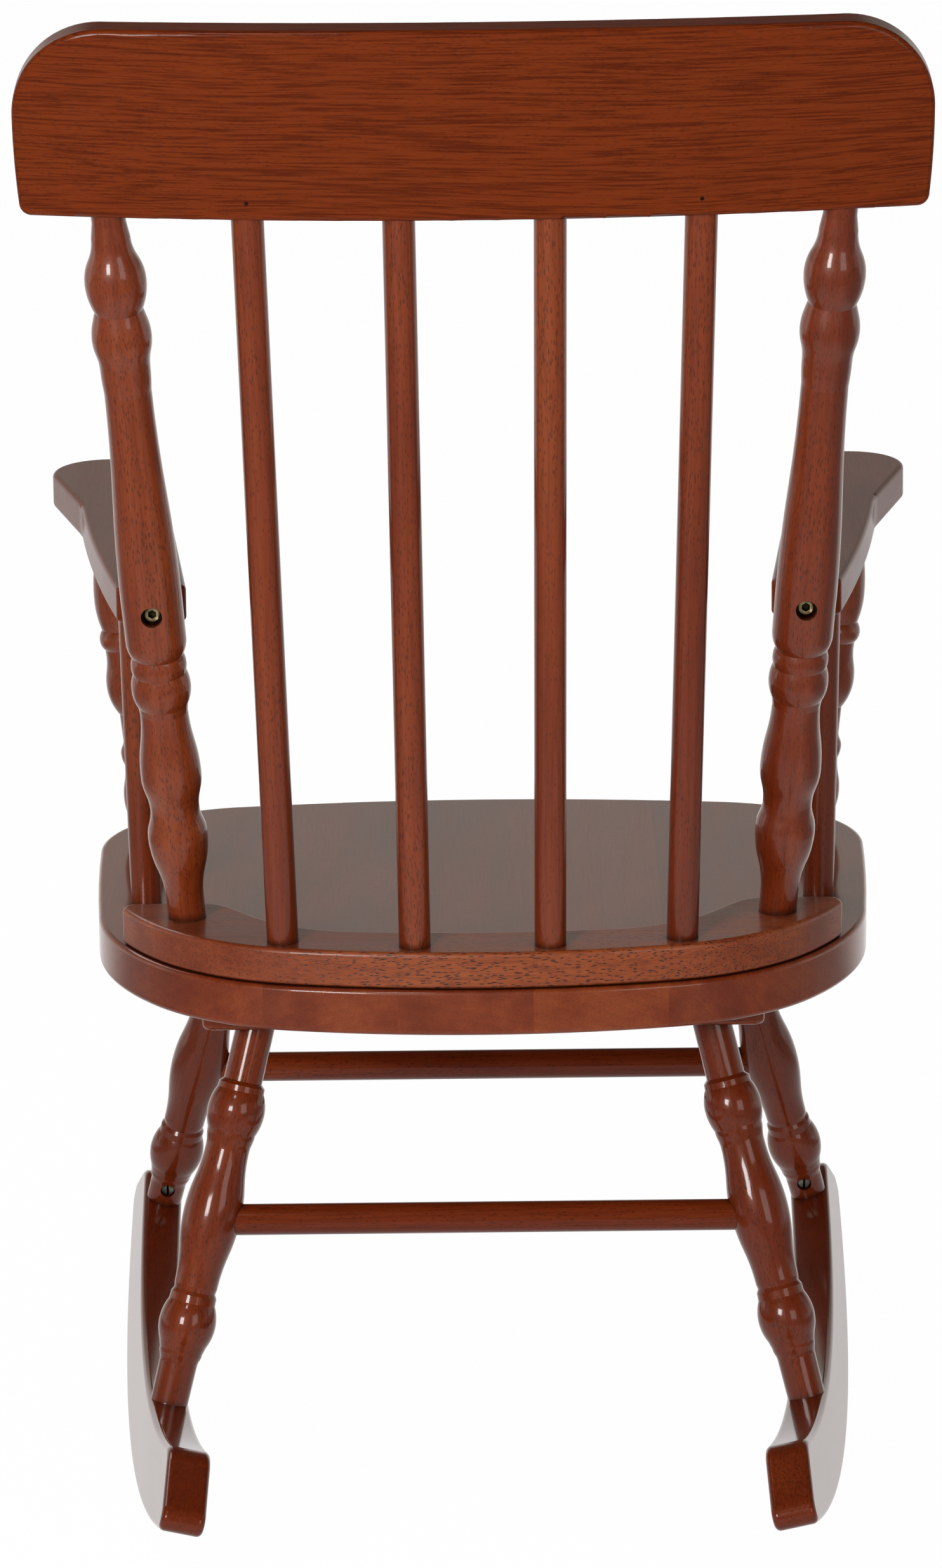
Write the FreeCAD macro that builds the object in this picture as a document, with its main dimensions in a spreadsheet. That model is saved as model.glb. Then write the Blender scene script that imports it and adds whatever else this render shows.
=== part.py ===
"""A child's spindle-back rocking chair, turned and sawn from hardwood, built piece by piece.

Everything is drawn in the seat's own frame: X to the sitter's left, Y to the rear, Z up from the top of
the seat, with the origin at the foot line of the two middle spindles. The finished chair is then leaned
back as far as its own weight leans it on its rockers, and set down on the floor.
"""
import FreeCAD
import Part
import Sketcher
import math
import os
from types import SimpleNamespace

from FreeCAD import Placement, Rotation, Vector

SIZES = {
    # plain dowels, and the fits that every round joint shares
    "dowel_radius": 8,
    "fit_clearance": 0.1,
    "socket_margin": 8,
    "edge_radius": 2.5,
    # seat board
    "seat_thickness": 23.5,
    "seat_front": 361,
    "seat_front_bow": 26,
    "seat_front_half_width": 206,
    "seat_front_corner_radius": 85,
    "seat_side_half_width": 204,
    "seat_side_y": 209,
    "seat_flank_half_width": 196,
    "seat_flank_y": 83,
    "seat_flank_radius": 178,
    "seat_rear": 17.5,
    "seat_rear_bow": 24.5,
    "seat_rear_half_width": 145,
    "seat_rear_corner_radius": 119,
    "seat_socket_depth": 15,
    # yoke that carries the back
    "yoke_thickness": 19,
    "yoke_inset": 2,
    "yoke_end_y": 85.5,
    "yoke_end_radius": 8,
    "yoke_arm_half_gap": 135,
    "yoke_arm_radius": 22,
    "yoke_throat_half_width": 98,
    "yoke_throat_y": 34,
    "yoke_throat_radius": 72,
    "yoke_front_y": 25,
    "yoke_blank_y": 200,
    "yoke_clear_y": 400,
    "yoke_end_search": 20,
    "yoke_blank_half_width": 240,
    "yoke_socket_depth": 15,
    # crest rail
    "crest_height": 94.3,
    "crest_thickness": 18.5,
    "crest_foot_inset": 2.8,
    "crest_half_width": 221.8,
    "crest_widest_height": 52,
    "crest_shoulder_inset": 2.3,
    "crest_crown": 1.5,
    "crest_shoulder_radius": 44,
    "crest_foot_radius": 6,
    "crest_bend_radius": 1320,
    "crest_blank_margin": 13,
    "crest_blank_height": 110,
    "crest_y": 45,
    "crest_z": 396.3,
    "crest_tenon_radius": 5.5,
    "crest_tenon_length": 24,
    "crest_housing": 1.5,
    # feet of the back's uprights on the yoke, and their tops in the crest
    "inner_spindle_foot": 34,
    "inner_spindle_top": 36.5,
    "outer_spindle_foot": 100.5,
    "outer_spindle_foot_y": 11,
    "outer_spindle_top": 109.5,
    "back_post_foot": 150.5,
    "back_post_foot_y": 58.5,
    "back_post_inset": 44.8,
    # arms
    "arm_thickness": 18.5,
    "arm_top": 197.8,
    "arm_rear_y": 31,
    "arm_rear_inner": 146,
    "arm_rear_outer": 180.8,
    "arm_side_y": 130,
    "arm_side_outer": 197.5,
    "arm_knee_y": 226,
    "arm_knee_outer": 209,
    "arm_knee_radius": 110,
    "arm_front_y": 348,
    "arm_front_inner": 174,
    "arm_front_outer": 239.5,
    "arm_front_inner_radius": 28,
    "arm_front_outer_radius": 37,
    "arm_rear_radius": 4,
    "arm_socket_depth": 12,
    # turned post and plain dowel under each arm
    "arm_post_foot_x": 181,
    "arm_post_top_x": 197,
    "arm_post_y": 297,
    "arm_spindle_foot_x": 176,
    "arm_spindle_foot_y": 154,
    "arm_spindle_top_x": 179.5,
    "arm_spindle_top_y": 150,
    # legs: where each axis leaves the seat's underside, and how far it runs out and along per unit down
    "rear_leg_x": 113,
    "rear_leg_y": 56.6,
    "rear_leg_splay": 0.249,
    "rear_leg_rake": 0.25,
    "rear_leg_length": 211,
    "front_leg_x": 128.4,
    "front_leg_y": 269.9,
    "front_leg_splay": 0.262,
    "front_leg_rake": 0.239,
    "front_leg_length": 203.4,
    "leg_shaft_radius": 9.9,
    "leg_foot_radius": 9.5,
    "leg_foot_allowance": 12,
    # stretchers
    "stretcher_station": 117,
    "stretcher_embed": 12,
    # battens that stiffen the seat across its boards
    "batten_thickness": 12,
    "batten_half_width": 20.5,
    "batten_half_length": 143,
    "batten_corner_radius": 5,
    # rockers
    "rocker_thickness": 21.5,
    "rocker_radius": 1050,
    "rocker_height": 39.5,
    "rocker_cant": 13.5,
    "rocker_toe_in": 3.4,
    "rocker_foot_ahead": 125,
    "rocker_drop": 48.5,
    "rocker_front": 265,
    "rocker_front_shoulder": 215,
    "rocker_front_top_radius": 29,
    "rocker_front_foot_radius": 8,
    "rocker_shoulder": 292,
    "rocker_shoulder_radius": 26,
    "rocker_tail": 350,
    "rocker_tail_radius": 7,
    "rocker_edge_radius": 3,
    # bolts, barrel nuts, screws and brads
    "bolt_radius": 2.5,
    "bolt_head_radius": 4.2,
    "bolt_head_height": 5,
    "bolt_key_radius": 2,
    "bolt_key_depth": 2.8,
    "counterbore_radius": 5.3,
    "counterbore_depth": 30,
    "arm_bolt_z": 188.6,
    "arm_bolt_seat": 2.5,
    "arm_bolt_length": 36,
    "arm_insert_radius": 4,
    "arm_insert_length": 14,
    "arm_insert_recess": 15.55,
    "barrel_nut_radius": 3.8,
    "barrel_nut_half_length": 8,
    "barrel_nut_rise": 10.5,
    "rocker_bolt_seat": 24,
    "rocker_bolt_past_nut": 6,
    "screw_radius": 1.9,
    "screw_head_radius": 4,
    "screw_head_height": 2.6,
    "screw_recess": 0.4,
    "batten_screw_spacing": 62,
    "batten_screw_length": 26,
    "yoke_screw_spacing": 66,
    "yoke_screw_y": 5,
    "yoke_screw_length": 34,
    "brad_radius": 0.9,
    "brad_height": 9,
    "brad_length": 13,
    "brad_recess": 0.3,
    # how much heavier the steel is than the wood, for finding the balance
    "steel_weight": 11,
}

# A turning is a list of stations along its axis: a name, the distance from the foot, the radius, and the
# way the cutter comes there. "line" is straight, "rise" is one arc that ends parallel to the axis, "fall"
# is one arc that starts parallel to it, and "ogee" is both, one after the other.
BACK_POST = (
    ("foot", 12, 9.7, "line"),
    ("low_bulb", 48, 15.2, "ogee"),
    ("low_neck", 63.5, 12.4, "ogee"),
    ("vase", 83, 15.4, "ogee"),
    ("vase_neck", 119, 12.1, "ogee"),
    ("bead_foot", 123, 12.7, "line"),
    ("bead", 132.5, 15, "rise"),
    ("bead_top", 141, 13.4, "fall"),
    ("collar", 145, 14, "rise"),
    ("groove", 150.5, 12.8, "fall"),
    ("shaft_foot", 159, 15.25, "rise"),
    ("shaft", 182, 15.4, "line"),
    ("waist", 296, 11.7, "ogee"),
    ("high_bead_foot", 309, 12.4, "rise"),
    ("high_bead", 325, 14.8, "ogee"),
    ("ring", 334.5, 13.3, "fall"),
    ("high_groove", 339.5, 11.9, "line"),
    ("ball", 354.5, 15.2, "rise"),
    ("neck", 378, 9.6, "ogee"),
    ("top", 386, 8.4, "line"),
)
ARM_POST = (
    ("foot", 4, 9.6, "line"),
    ("cup", 20, 11.6, "ogee"),
    ("ankle", 39, 9, "ogee"),
    ("bead", 45.5, 10.4, "rise"),
    ("shin", 53, 8.3, "ogee"),
    ("step", 67.5, 8.6, "line"),
    ("vase", 84, 13.9, "rise"),
    ("neck", 100, 12.1, "ogee"),
    ("ring_foot", 104, 12.3, "line"),
    ("ring", 109.5, 14.7, "rise"),
    ("groove", 115, 12.8, "fall"),
    ("ball", 130.5, 15.2, "rise"),
    ("wrist", 173, 10.8, "ogee"),
)
# Both pairs of legs come off one turning. They differ only in the length of plain shaft left at the foot.
LEG = (
    ("shaft_end", 44, 9.9, "line"),
    ("collar", 46, 11.9, "line"),
    ("collar_end", 49, 12.1, "line"),
    ("knob", 59.5, 14.7, "rise"),
    ("knob_foot", 70.5, 12.4, "fall"),
    ("neck", 79.5, 11.3, "ogee"),
    ("swell", 114.5, 14.9, "ogee"),
    ("ankle", 151.5, 11.1, "ogee"),
    ("groove", 154, 10.7, "line"),
    ("low_collar", 156, 11.8, "line"),
    ("low_collar_end", 160, 12, "line"),
    ("low_knob", 171, 14.6, "rise"),
    ("low_knob_foot", 181.5, 12.2, "fall"),
    ("cuff", 185.5, 11.1, "line"),
    ("shaft", 192, 9.8, "ogee"),
)

doc = FreeCAD.newDocument("rocking_chair")
sheet = doc.addObject("Spreadsheet::Sheet", "Sizes")


class Length:
    """A length in millimetres together with the spreadsheet formula that gives it."""

    def __init__(self, value, formula):
        self.value, self.formula = value, formula

    def __float__(self):
        return float(self.value)

    def __neg__(self):
        return Length(-self.value, f"-({self.formula})")

    def __add__(self, other):
        return Length(self.value + float(other), f"({self.formula} + {formula_of(other)})")

    def __sub__(self, other):
        return Length(self.value - float(other), f"({self.formula} - {formula_of(other)})")

    def __mul__(self, other):
        return Length(self.value * float(other), f"({self.formula} * {formula_of(other)})")

    def __truediv__(self, other):
        return Length(self.value / float(other), f"({self.formula} / {formula_of(other)})")

    def root(self):
        return Length(math.sqrt(self.value), f"sqrt({self.formula})")


def formula_of(number):
    return number.formula if isinstance(number, Length) else repr(float(number))


def turning_sizes(piece, stations):
    """The spreadsheet names of a turning's stations, with their values."""
    sizes = {}
    for name, at, radius, _ in stations:
        sizes[f"{piece}_{name}_at"] = at
        sizes[f"{piece}_{name}_radius"] = radius
    return sizes


def fill_sheet(sizes):
    """Writes every size to the sheet under its name, and returns them as lengths."""
    for row, (name, value) in enumerate(sizes.items(), start=1):
        sheet.set(f"A{row}", name)
        sheet.set(f"B{row}", str(value))
        sheet.setAlias(f"B{row}", name)
    doc.recompute()
    return SimpleNamespace(**{name: Length(value, f"Sizes.{name}") for name, value in sizes.items()})


size = fill_sheet({
    **SIZES,
    **turning_sizes("back_post", BACK_POST),
    **turning_sizes("arm_post", ARM_POST),
    **turning_sizes("leg", LEG),
})


# ---------------------------------------------------------------- sketches and features

def new_body(name):
    body = doc.addObject("PartDesign::Body", name)
    body.Label = name
    return body


def flat_sketch(body, role):
    """An empty sketch on one of the body's own origin planes."""
    plane = next(item for item in body.Origin.OriginFeatures if item.Role == role)
    sketch = body.newObject("Sketcher::SketchObject", body.Name + "_sketch")
    sketch.AttachmentSupport = (plane, [""])
    sketch.MapMode = "FlatFace"
    return sketch


def hold(sketch, geometry, point, x, y):
    """Dimensions a point from the sketch's origin. A plain 0 puts it on the axis."""
    for kind, value, axis in (("DistanceX", x, -2), ("DistanceY", y, -1)):
        if value is None:
            continue
        if not isinstance(value, Length):
            sketch.addConstraint(Sketcher.Constraint("PointOnObject", geometry, point, axis))
            continue
        index = sketch.addConstraint(Sketcher.Constraint(kind, -1, 1, geometry, point, value.value))
        sketch.setExpression(f"Constraints[{index}]", value.formula)


def arc_between(first, last, level):
    """The short arc between two points whose centre lies at the height level."""
    rise = first.y - level, last.y - level
    centre_x = (rise[0] ** 2 - rise[1] ** 2 + first.x ** 2 - last.x ** 2) / (2 * (first.x - last.x))
    centre = Vector(centre_x, level, 0)
    middle = (first + last) * 0.5 - centre
    middle.Length = (first - centre).Length
    return Part.Arc(first, centre + middle, last)


def draw(sketch, outline):
    """Closes an outline. A corner is (x, y) after a line, (x, y, ("level", z)) after an arc with its centre
    at that height, or (x, y, ("via", x, y)) after an arc through that point."""
    corners = [Vector(float(x), float(y), 0) for x, y, *_ in outline]
    ends = []
    for index, (x, y, *bend) in enumerate(outline):
        start, end = corners[index - 1], corners[index]
        if not bend:
            curve = Part.LineSegment(start, end)
        elif bend[0][0] == "level":
            curve = arc_between(start, end, float(bend[0][1]))
        else:
            curve = Part.Arc(start, Vector(float(bend[0][1]), float(bend[0][2]), 0), end)
        line = sketch.addGeometry(curve, False)
        tail_first = (sketch.getPoint(line, 1) - start).Length < 1e-6
        ends.append((line, 1, 2) if tail_first else (line, 2, 1))
    for index, (line, tail, head) in enumerate(ends):
        previous, _, previous_head = ends[index - 1]
        sketch.addConstraint(Sketcher.Constraint("Coincident", previous, previous_head, line, tail))
        x, y, *bend = outline[index]
        hold(sketch, line, head, x, y)
        if bend and bend[0][0] == "level":
            hold(sketch, line, 3, None, bend[0][1])
        elif bend:
            middle = Vector(float(bend[0][1]), float(bend[0][2]), 0)
            mark = sketch.addGeometry(Part.Point(middle), True)
            hold(sketch, mark, 1, bend[0][1], bend[0][2])
            sketch.addConstraint(Sketcher.Constraint("PointOnObject", mark, 1, line))
    doc.recompute()


def pad(body, role, outline, length, midplane=False):
    """Pads an outline drawn on one of the body's own planes."""
    sketch = flat_sketch(body, role)
    draw(sketch, outline)
    result = body.newObject("PartDesign::Pad", body.Name + "_pad")
    result.Profile = sketch
    result.Midplane = midplane
    result.setExpression("Length", length.formula)
    sketch.Visibility = False
    doc.recompute()
    return result


def pocket(body, role, outline):
    """Cuts an outline right through the body, both ways from the plane it is drawn on."""
    sketch = flat_sketch(body, role)
    draw(sketch, outline)
    result = body.newObject("PartDesign::Pocket", body.Name + "_pocket")
    result.Profile = sketch
    result.Type = "ThroughAll"
    result.Midplane = True
    sketch.Visibility = False
    doc.recompute()
    return result


def fillet(body, radius, test):
    """Rounds every edge of the body that passes the test."""
    base = body.Tip
    names = [f"Edge{n}" for n, edge in enumerate(base.Shape.Edges, start=1) if test(edge)]
    rounding = body.newObject("PartDesign::Fillet", body.Name + "_round")
    rounding.Base = (base, names)
    rounding.setExpression("Radius", radius.formula)
    doc.recompute()
    return rounding


def stands_at(x, y, slack=0.5):
    """A test for the upright edge at a place in the plan, and for its twin across the middle."""
    def test(edge):
        ends = [vertex.Point for vertex in edge.Vertexes]
        if len(ends) != 2 or math.hypot(ends[0].x - ends[1].x, ends[0].y - ends[1].y) > 0.01:
            return False
        return math.hypot(abs(ends[0].x) - abs(float(x)), ends[0].y - float(y)) < slack
    return test


def lies_at(*levels):
    """A test for edges that lie wholly at one of the levels."""
    def test(edge):
        box = edge.BoundBox
        return box.ZLength < 0.01 and any(abs(box.ZMin - float(level)) < 0.01 for level in levels)
    return test


def cylinder(name, place, radius, start, end):
    """A rod on a piece's own axis, from start to end along it."""
    rod = doc.addObject("Part::Cylinder", name)
    rod.setExpression("Radius", radius.formula)
    rod.setExpression("Height", (end - start).formula)
    rod.Placement = place.multiply(Placement(Vector(0, 0, float(start)), Rotation()))
    return rod


def cut(name, base, tools):
    """The base with every tool taken out of it."""
    tool = doc.addObject("Part::Compound", name + "_tools")
    tool.Links = tools
    result = doc.addObject("Part::Cut", name)
    result.Base, result.Tool = base, tool
    result.Label = name
    return result


def group(name, pieces):
    """Separate pieces that share one name."""
    together = doc.addObject("Part::Compound", name)
    together.Links = pieces
    return together


# ---------------------------------------------------------------- places

def vector(place):
    return Vector(*(float(value) for value in place))


def distance(start, end):
    square = size.fit_clearance * 0
    for first, last in zip(start, end):
        step = last - first
        square = square + step * step
    return square.root()


def upright(start, end):
    """The placement that stands a piece's own Z axis on start and points it at end."""
    return Placement(vector(start), Rotation(Vector(0, 0, 1), vector(end) - vector(start)))


NOUGHT = Length(0, "0")
SIDES = (("left", 1), ("right", -1))


# ---------------------------------------------------------------- turned pieces

def turned_body(name, place, outline):
    """Turns a closed half outline of (radius, distance along the axis)."""
    body = new_body(name)
    sketch = flat_sketch(body, "XZ_Plane")
    draw(sketch, outline)
    turning = body.newObject("PartDesign::Revolution", name + "_turning")
    turning.Profile = sketch
    turning.ReferenceAxis = (sketch, ["V_Axis"])
    turning.Angle = 360
    sketch.Visibility = False
    body.Placement = place
    doc.recompute()
    return body


def turned_outline(piece, stations, start, start_radius, ends):
    """The half outline of a turning: its blind start, its stations, and the plain lengths it ends in."""
    outline = [(0, start), (start_radius, start)]
    for name, _, _, way in stations:
        at = getattr(size, f"{piece}_{name}_at")
        radius = getattr(size, f"{piece}_{name}_radius")
        last_radius, last_at = outline[-1][:2]
        if way == "line":
            outline.append((radius, at))
        elif way == "rise":
            outline.append((radius, at, ("level", at)))
        elif way == "fall":
            outline.append((radius, at, ("level", last_at)))
        else:
            outline.append(((radius + last_radius) / 2, (at + last_at) / 2, ("level", last_at)))
            outline.append((radius, at, ("level", at)))
    outline.extend(ends)
    outline.append((0, outline[-1][1]))
    return outline


def stepped_body(name, place, steps):
    """A plain round piece, or a hole, from its (radius, distance along the axis) corners."""
    return turned_body(name, place, [(0, steps[0][1])] + list(steps) + [(0, steps[-1][1])])


# ---------------------------------------------------------------- seat, yoke and crest

def seat_outline(inset):
    """The rear of the seat's outline, set in, as corners from the left flank round to the right one."""
    flank = size.seat_flank_half_width - inset
    corner = size.seat_rear_half_width - inset
    rear = size.seat_rear - inset
    corner_y = rear - size.seat_rear_bow
    return [
        (flank, -size.seat_flank_y),
        (corner, corner_y),
        (-corner, corner_y, ("via", 0, rear)),
        (-flank, -size.seat_flank_y),
    ]


def round_flanks(body, inset):
    """Rounds the two corners on each side of the seat's rear outline."""
    rear = seat_outline(inset)
    fillet(body, size.seat_flank_radius - inset, stands_at(*rear[0][:2]))
    fillet(body, size.seat_rear_corner_radius - inset, stands_at(*rear[1][:2]))


def make_seat():
    body = new_body("seat_board")
    front_y = size.seat_front_bow - size.seat_front
    front = size.seat_front_half_width
    rear = seat_outline(NOUGHT)
    rear[0] = rear[0] + (("via", size.seat_side_half_width, -size.seat_side_y),)
    outline = [(front, front_y, ("via", 0, -size.seat_front))] + rear
    outline.append((-front, front_y, ("via", -size.seat_side_half_width, -size.seat_side_y)))
    pad(body, "XY_Plane", outline, size.seat_thickness)
    fillet(body, size.seat_front_corner_radius, stands_at(front, front_y))
    round_flanks(body, NOUGHT)
    fillet(body, size.edge_radius, lies_at(0, size.seat_thickness))
    body.Placement = Placement(Vector(0, 0, -float(size.seat_thickness)), Rotation())
    return body


def make_yoke():
    body = new_body("yoke_board")
    inset = size.yoke_inset
    rear = seat_outline(inset)
    blank = size.seat_side_half_width - inset
    pad(body, "XY_Plane", [(blank, -size.yoke_blank_y)] + rear + [(-blank, -size.yoke_blank_y)],
        size.yoke_thickness)
    round_flanks(body, inset)
    wide = size.yoke_blank_half_width
    throat = size.yoke_throat_half_width, -size.yoke_throat_y
    arm = size.yoke_arm_half_gap, -size.yoke_end_y
    pocket(body, "XY_Plane", [
        (-wide, -size.yoke_end_y),
        (-arm[0], arm[1]),
        (-throat[0], throat[1]),
        (throat[0], throat[1], ("via", 0, -size.yoke_front_y)),
        arm,
        (wide, -size.yoke_end_y),
        (wide, -size.yoke_clear_y),
        (-wide, -size.yoke_clear_y),
    ])
    fillet(body, size.yoke_throat_radius, stands_at(*throat))
    fillet(body, size.yoke_arm_radius, stands_at(*arm))
    end_x = size.seat_flank_half_width - size.yoke_end_search / 2
    fillet(body, size.yoke_end_radius, stands_at(end_x, -size.yoke_end_y, float(size.yoke_end_search)))
    fillet(body, size.edge_radius, lies_at(0, size.yoke_thickness))
    return body


def crest_slope():
    """The sine and the cosine of the back's lean."""
    rise = size.crest_z - size.yoke_thickness
    run = size.crest_y
    length = (rise * rise + run * run).root()
    return run / length, rise / length


def crest_bow(radius, x):
    """How far a bend of this radius falls forward of its crown at a half width."""
    return radius - (radius * radius - x * x).root()


def crest_foot(x):
    """The middle of the crest rail's underside, a half width from its centre."""
    sine, cosine = crest_slope()
    bow = crest_bow(size.crest_bend_radius, x)
    return x, size.crest_y - bow * cosine, size.crest_z + bow * sine


def crest_place():
    sine, cosine = crest_slope()
    lean = math.degrees(math.atan2(float(sine), float(cosine)))
    return Placement(Vector(0, float(size.crest_y), float(size.crest_z)), Rotation(Vector(1, 0, 0), -lean))


def make_crest():
    body = new_body("crest_board")
    half = size.crest_thickness / 2
    wide = size.crest_half_width + size.crest_blank_margin
    centre = -size.crest_bend_radius
    rear_y = half - crest_bow(size.crest_bend_radius + half, wide)
    front_y = -half - crest_bow(size.crest_bend_radius - half, wide)
    pad(body, "XY_Plane", [
        (wide, rear_y),
        (-wide, rear_y, ("level", centre)),
        (-wide, front_y),
        (wide, front_y, ("level", centre)),
    ], size.crest_blank_height * 2, midplane=True)
    face = new_body("crest_face")
    foot = size.crest_half_width - size.crest_foot_inset
    shoulder = size.crest_half_width - size.crest_shoulder_inset
    shoulder_z = size.crest_height - size.crest_crown
    pad(face, "XZ_Plane", [
        (foot, 0),
        (shoulder, shoulder_z, ("via", size.crest_half_width, size.crest_widest_height)),
        (-shoulder, shoulder_z, ("via", 0, size.crest_height)),
        (-foot, 0, ("via", -size.crest_half_width, size.crest_widest_height)),
    ], size.crest_blank_height, midplane=True)
    fillet(face, size.crest_shoulder_radius, runs_through(shoulder, shoulder_z))
    fillet(face, size.crest_foot_radius, runs_through(foot, 0))
    common = body.newObject("PartDesign::Boolean", "crest_board_common")
    common.Type = "Common"
    common.setObjects([face])
    doc.recompute()
    fillet(body, size.edge_radius, follows_board)
    body.Placement = crest_place()
    return body


def runs_through(x, z):
    """A test for the edges that run front to back at a place in the crest's face, on either side."""
    def test(edge):
        ends = [vertex.Point for vertex in edge.Vertexes]
        if len(ends) != 2 or math.hypot(ends[0].x - ends[1].x, ends[0].z - ends[1].z) > 0.01:
            return False
        return math.hypot(abs(ends[0].x) - float(x), ends[0].z - float(z)) < 0.5
    return test


def follows_board(edge):
    """Whether an edge runs along the crest board rather than through its thickness."""
    ends = [vertex.Point for vertex in edge.Vertexes]
    return len(ends) == 2 and math.hypot(ends[0].x - ends[1].x, ends[0].z - ends[1].z) > 0.5


# ---------------------------------------------------------------- arms, battens and rockers

def make_arm(name, side):
    body = new_body(name)
    front = -size.arm_front_y
    knee = -size.arm_knee_y
    pad(body, "XY_Plane", [
        (size.arm_rear_inner * side, -size.arm_rear_y),
        (size.arm_rear_outer * side, -size.arm_rear_y),
        (size.arm_knee_outer * side, knee, ("via", size.arm_side_outer * side, -size.arm_side_y)),
        (size.arm_front_outer * side, front),
        (size.arm_front_inner * side, front),
    ], size.arm_thickness)
    fillet(body, size.arm_knee_radius, stands_at(size.arm_knee_outer, knee))
    fillet(body, size.arm_front_outer_radius, stands_at(size.arm_front_outer, front))
    fillet(body, size.arm_front_inner_radius, stands_at(size.arm_front_inner, front))
    fillet(body, size.arm_rear_radius, stands_at(size.arm_rear_inner, -size.arm_rear_y))
    fillet(body, size.arm_rear_radius, stands_at(size.arm_rear_outer, -size.arm_rear_y))
    fillet(body, size.edge_radius, lies_at(0, size.arm_thickness))
    body.Placement = Placement(Vector(0, 0, float(size.arm_top - size.arm_thickness)), Rotation())
    return body


def make_batten(name, middle_y):
    body = new_body(name)
    length = size.batten_half_length
    rear = size.batten_half_width - middle_y
    front = -size.batten_half_width - middle_y
    pad(body, "XY_Plane", [(length, front), (length, rear), (-length, rear), (-length, front)],
        size.batten_thickness)
    fillet(body, size.batten_corner_radius, stands_at(length, front))
    fillet(body, size.batten_corner_radius, stands_at(length, rear))
    fillet(body, size.edge_radius, lies_at(0))
    body.Placement = Placement(Vector(0, 0, -float(size.seat_thickness + size.batten_thickness)), Rotation())
    return body


def rocker_height_at(radius, run):
    """The height of a curve of this radius about the rocker's centre, a run from the lowest point."""
    return size.rocker_radius - (radius * radius - run * run).root()


def rocker_place(side):
    """Set in the plane of the legs: toed in towards the rear, and canted out at the foot."""
    toe = math.radians(float(size.rocker_toe_in))
    cant = math.radians(float(size.rocker_cant))
    back = Vector(-side * math.sin(toe), math.cos(toe), 0)
    up = Vector(-side * math.sin(cant) * math.cos(toe), -math.sin(cant) * math.sin(toe), math.cos(cant))
    turn = Rotation(back, up, back.cross(up), "ZXY")
    foot = vector(leg_point("rear", side, size.rear_leg_length))
    return Placement(foot - back * float(size.rocker_foot_ahead) - up * float(size.rocker_drop), turn)


def make_rocker(name, side, plain):
    """A rocker board, lying in its own XY plane with its lowest point at the origin."""
    body = new_body(name)
    top_radius = size.rocker_radius - size.rocker_height
    front_z = rocker_height_at(size.rocker_radius, size.rocker_front)
    front_top = -size.rocker_front_shoulder, rocker_height_at(top_radius, size.rocker_front_shoulder)
    tail_z = rocker_height_at(size.rocker_radius, size.rocker_tail)
    shoulder_z = rocker_height_at(top_radius, size.rocker_shoulder)
    pad(body, "XY_Plane", [
        (size.rocker_tail, tail_z, ("level", size.rocker_radius)),
        (size.rocker_shoulder, shoulder_z),
        (front_top[0], front_top[1], ("level", size.rocker_radius)),
        (-size.rocker_front, front_z),
    ], size.rocker_thickness, midplane=True)
    if not plain:
        fillet(body, size.rocker_front_top_radius, rises_at(*front_top))
        fillet(body, size.rocker_front_foot_radius, rises_at(-size.rocker_front, front_z))
        fillet(body, size.rocker_shoulder_radius, rises_at(size.rocker_shoulder, shoulder_z))
        fillet(body, size.rocker_tail_radius, rises_at(size.rocker_tail, tail_z))
        fillet(body, size.rocker_edge_radius, lies_at(size.rocker_thickness / 2, -size.rocker_thickness / 2))
    body.Placement = rocker_place(side)
    return body


def rises_at(x, y):
    """A test for the edge that crosses the board's thickness at a place in its outline."""
    def test(edge):
        ends = [vertex.Point for vertex in edge.Vertexes]
        if len(ends) != 2 or math.hypot(ends[0].x - ends[1].x, ends[0].y - ends[1].y) > 0.01:
            return False
        return math.hypot(ends[0].x - float(x), ends[0].y - float(y)) < 0.5
    return test


# ---------------------------------------------------------------- the axes of the round pieces

def leg_point(pair, side, along):
    """A point on a leg's axis, a distance below the seat's underside."""
    x, y, splay, rake = (getattr(size, f"{pair}_leg_{name}") for name in ("x", "y", "splay", "rake"))
    lean = -rake if pair == "front" else rake
    length = (splay * splay + rake * rake + 1).root()
    step = along / length
    return (x + step * splay) * side, step * lean - y, -size.seat_thickness - step


def back_post_ends(side):
    top = crest_foot(size.crest_half_width - size.back_post_inset)
    foot = size.back_post_foot * side, -size.back_post_foot_y, size.yoke_thickness
    return foot, (top[0] * side, top[1], top[2])


def spindle_ends(foot_x, foot_y, top_x, side):
    top = crest_foot(top_x)
    return (foot_x * side, -foot_y, size.yoke_thickness), (top[0] * side, top[1], top[2])


def stretcher_end(pair):
    return leg_point(pair, 1, size.stretcher_station)


# ---------------------------------------------------------------- fasteners

def screw(name, place, length):
    return stepped_body(name, place, [
        (size.screw_head_radius, NOUGHT),
        (size.screw_radius, size.screw_head_height),
        (size.screw_radius, length),
    ])


def screw_hole(name, place, length):
    gap = size.fit_clearance
    return stepped_body(name, place, [
        (size.screw_head_radius + gap, -size.socket_margin),
        (size.screw_head_radius + gap, NOUGHT),
        (size.screw_radius + gap, size.screw_head_height),
        (size.screw_radius + gap, length + gap),
    ])


def bolt(name, place, length):
    """A socket-head bolt whose bearing face is at its own origin, with the shank along Z."""
    body = turned_body(name, place, [
        (0, -size.bolt_head_height + size.bolt_key_depth),
        (size.bolt_key_radius, -size.bolt_head_height + size.bolt_key_depth),
        (size.bolt_key_radius, -size.bolt_head_height),
        (size.bolt_head_radius, -size.bolt_head_height),
        (size.bolt_head_radius, NOUGHT),
        (size.bolt_radius, NOUGHT),
        (size.bolt_radius, length),
        (0, length),
    ])
    return body


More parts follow.
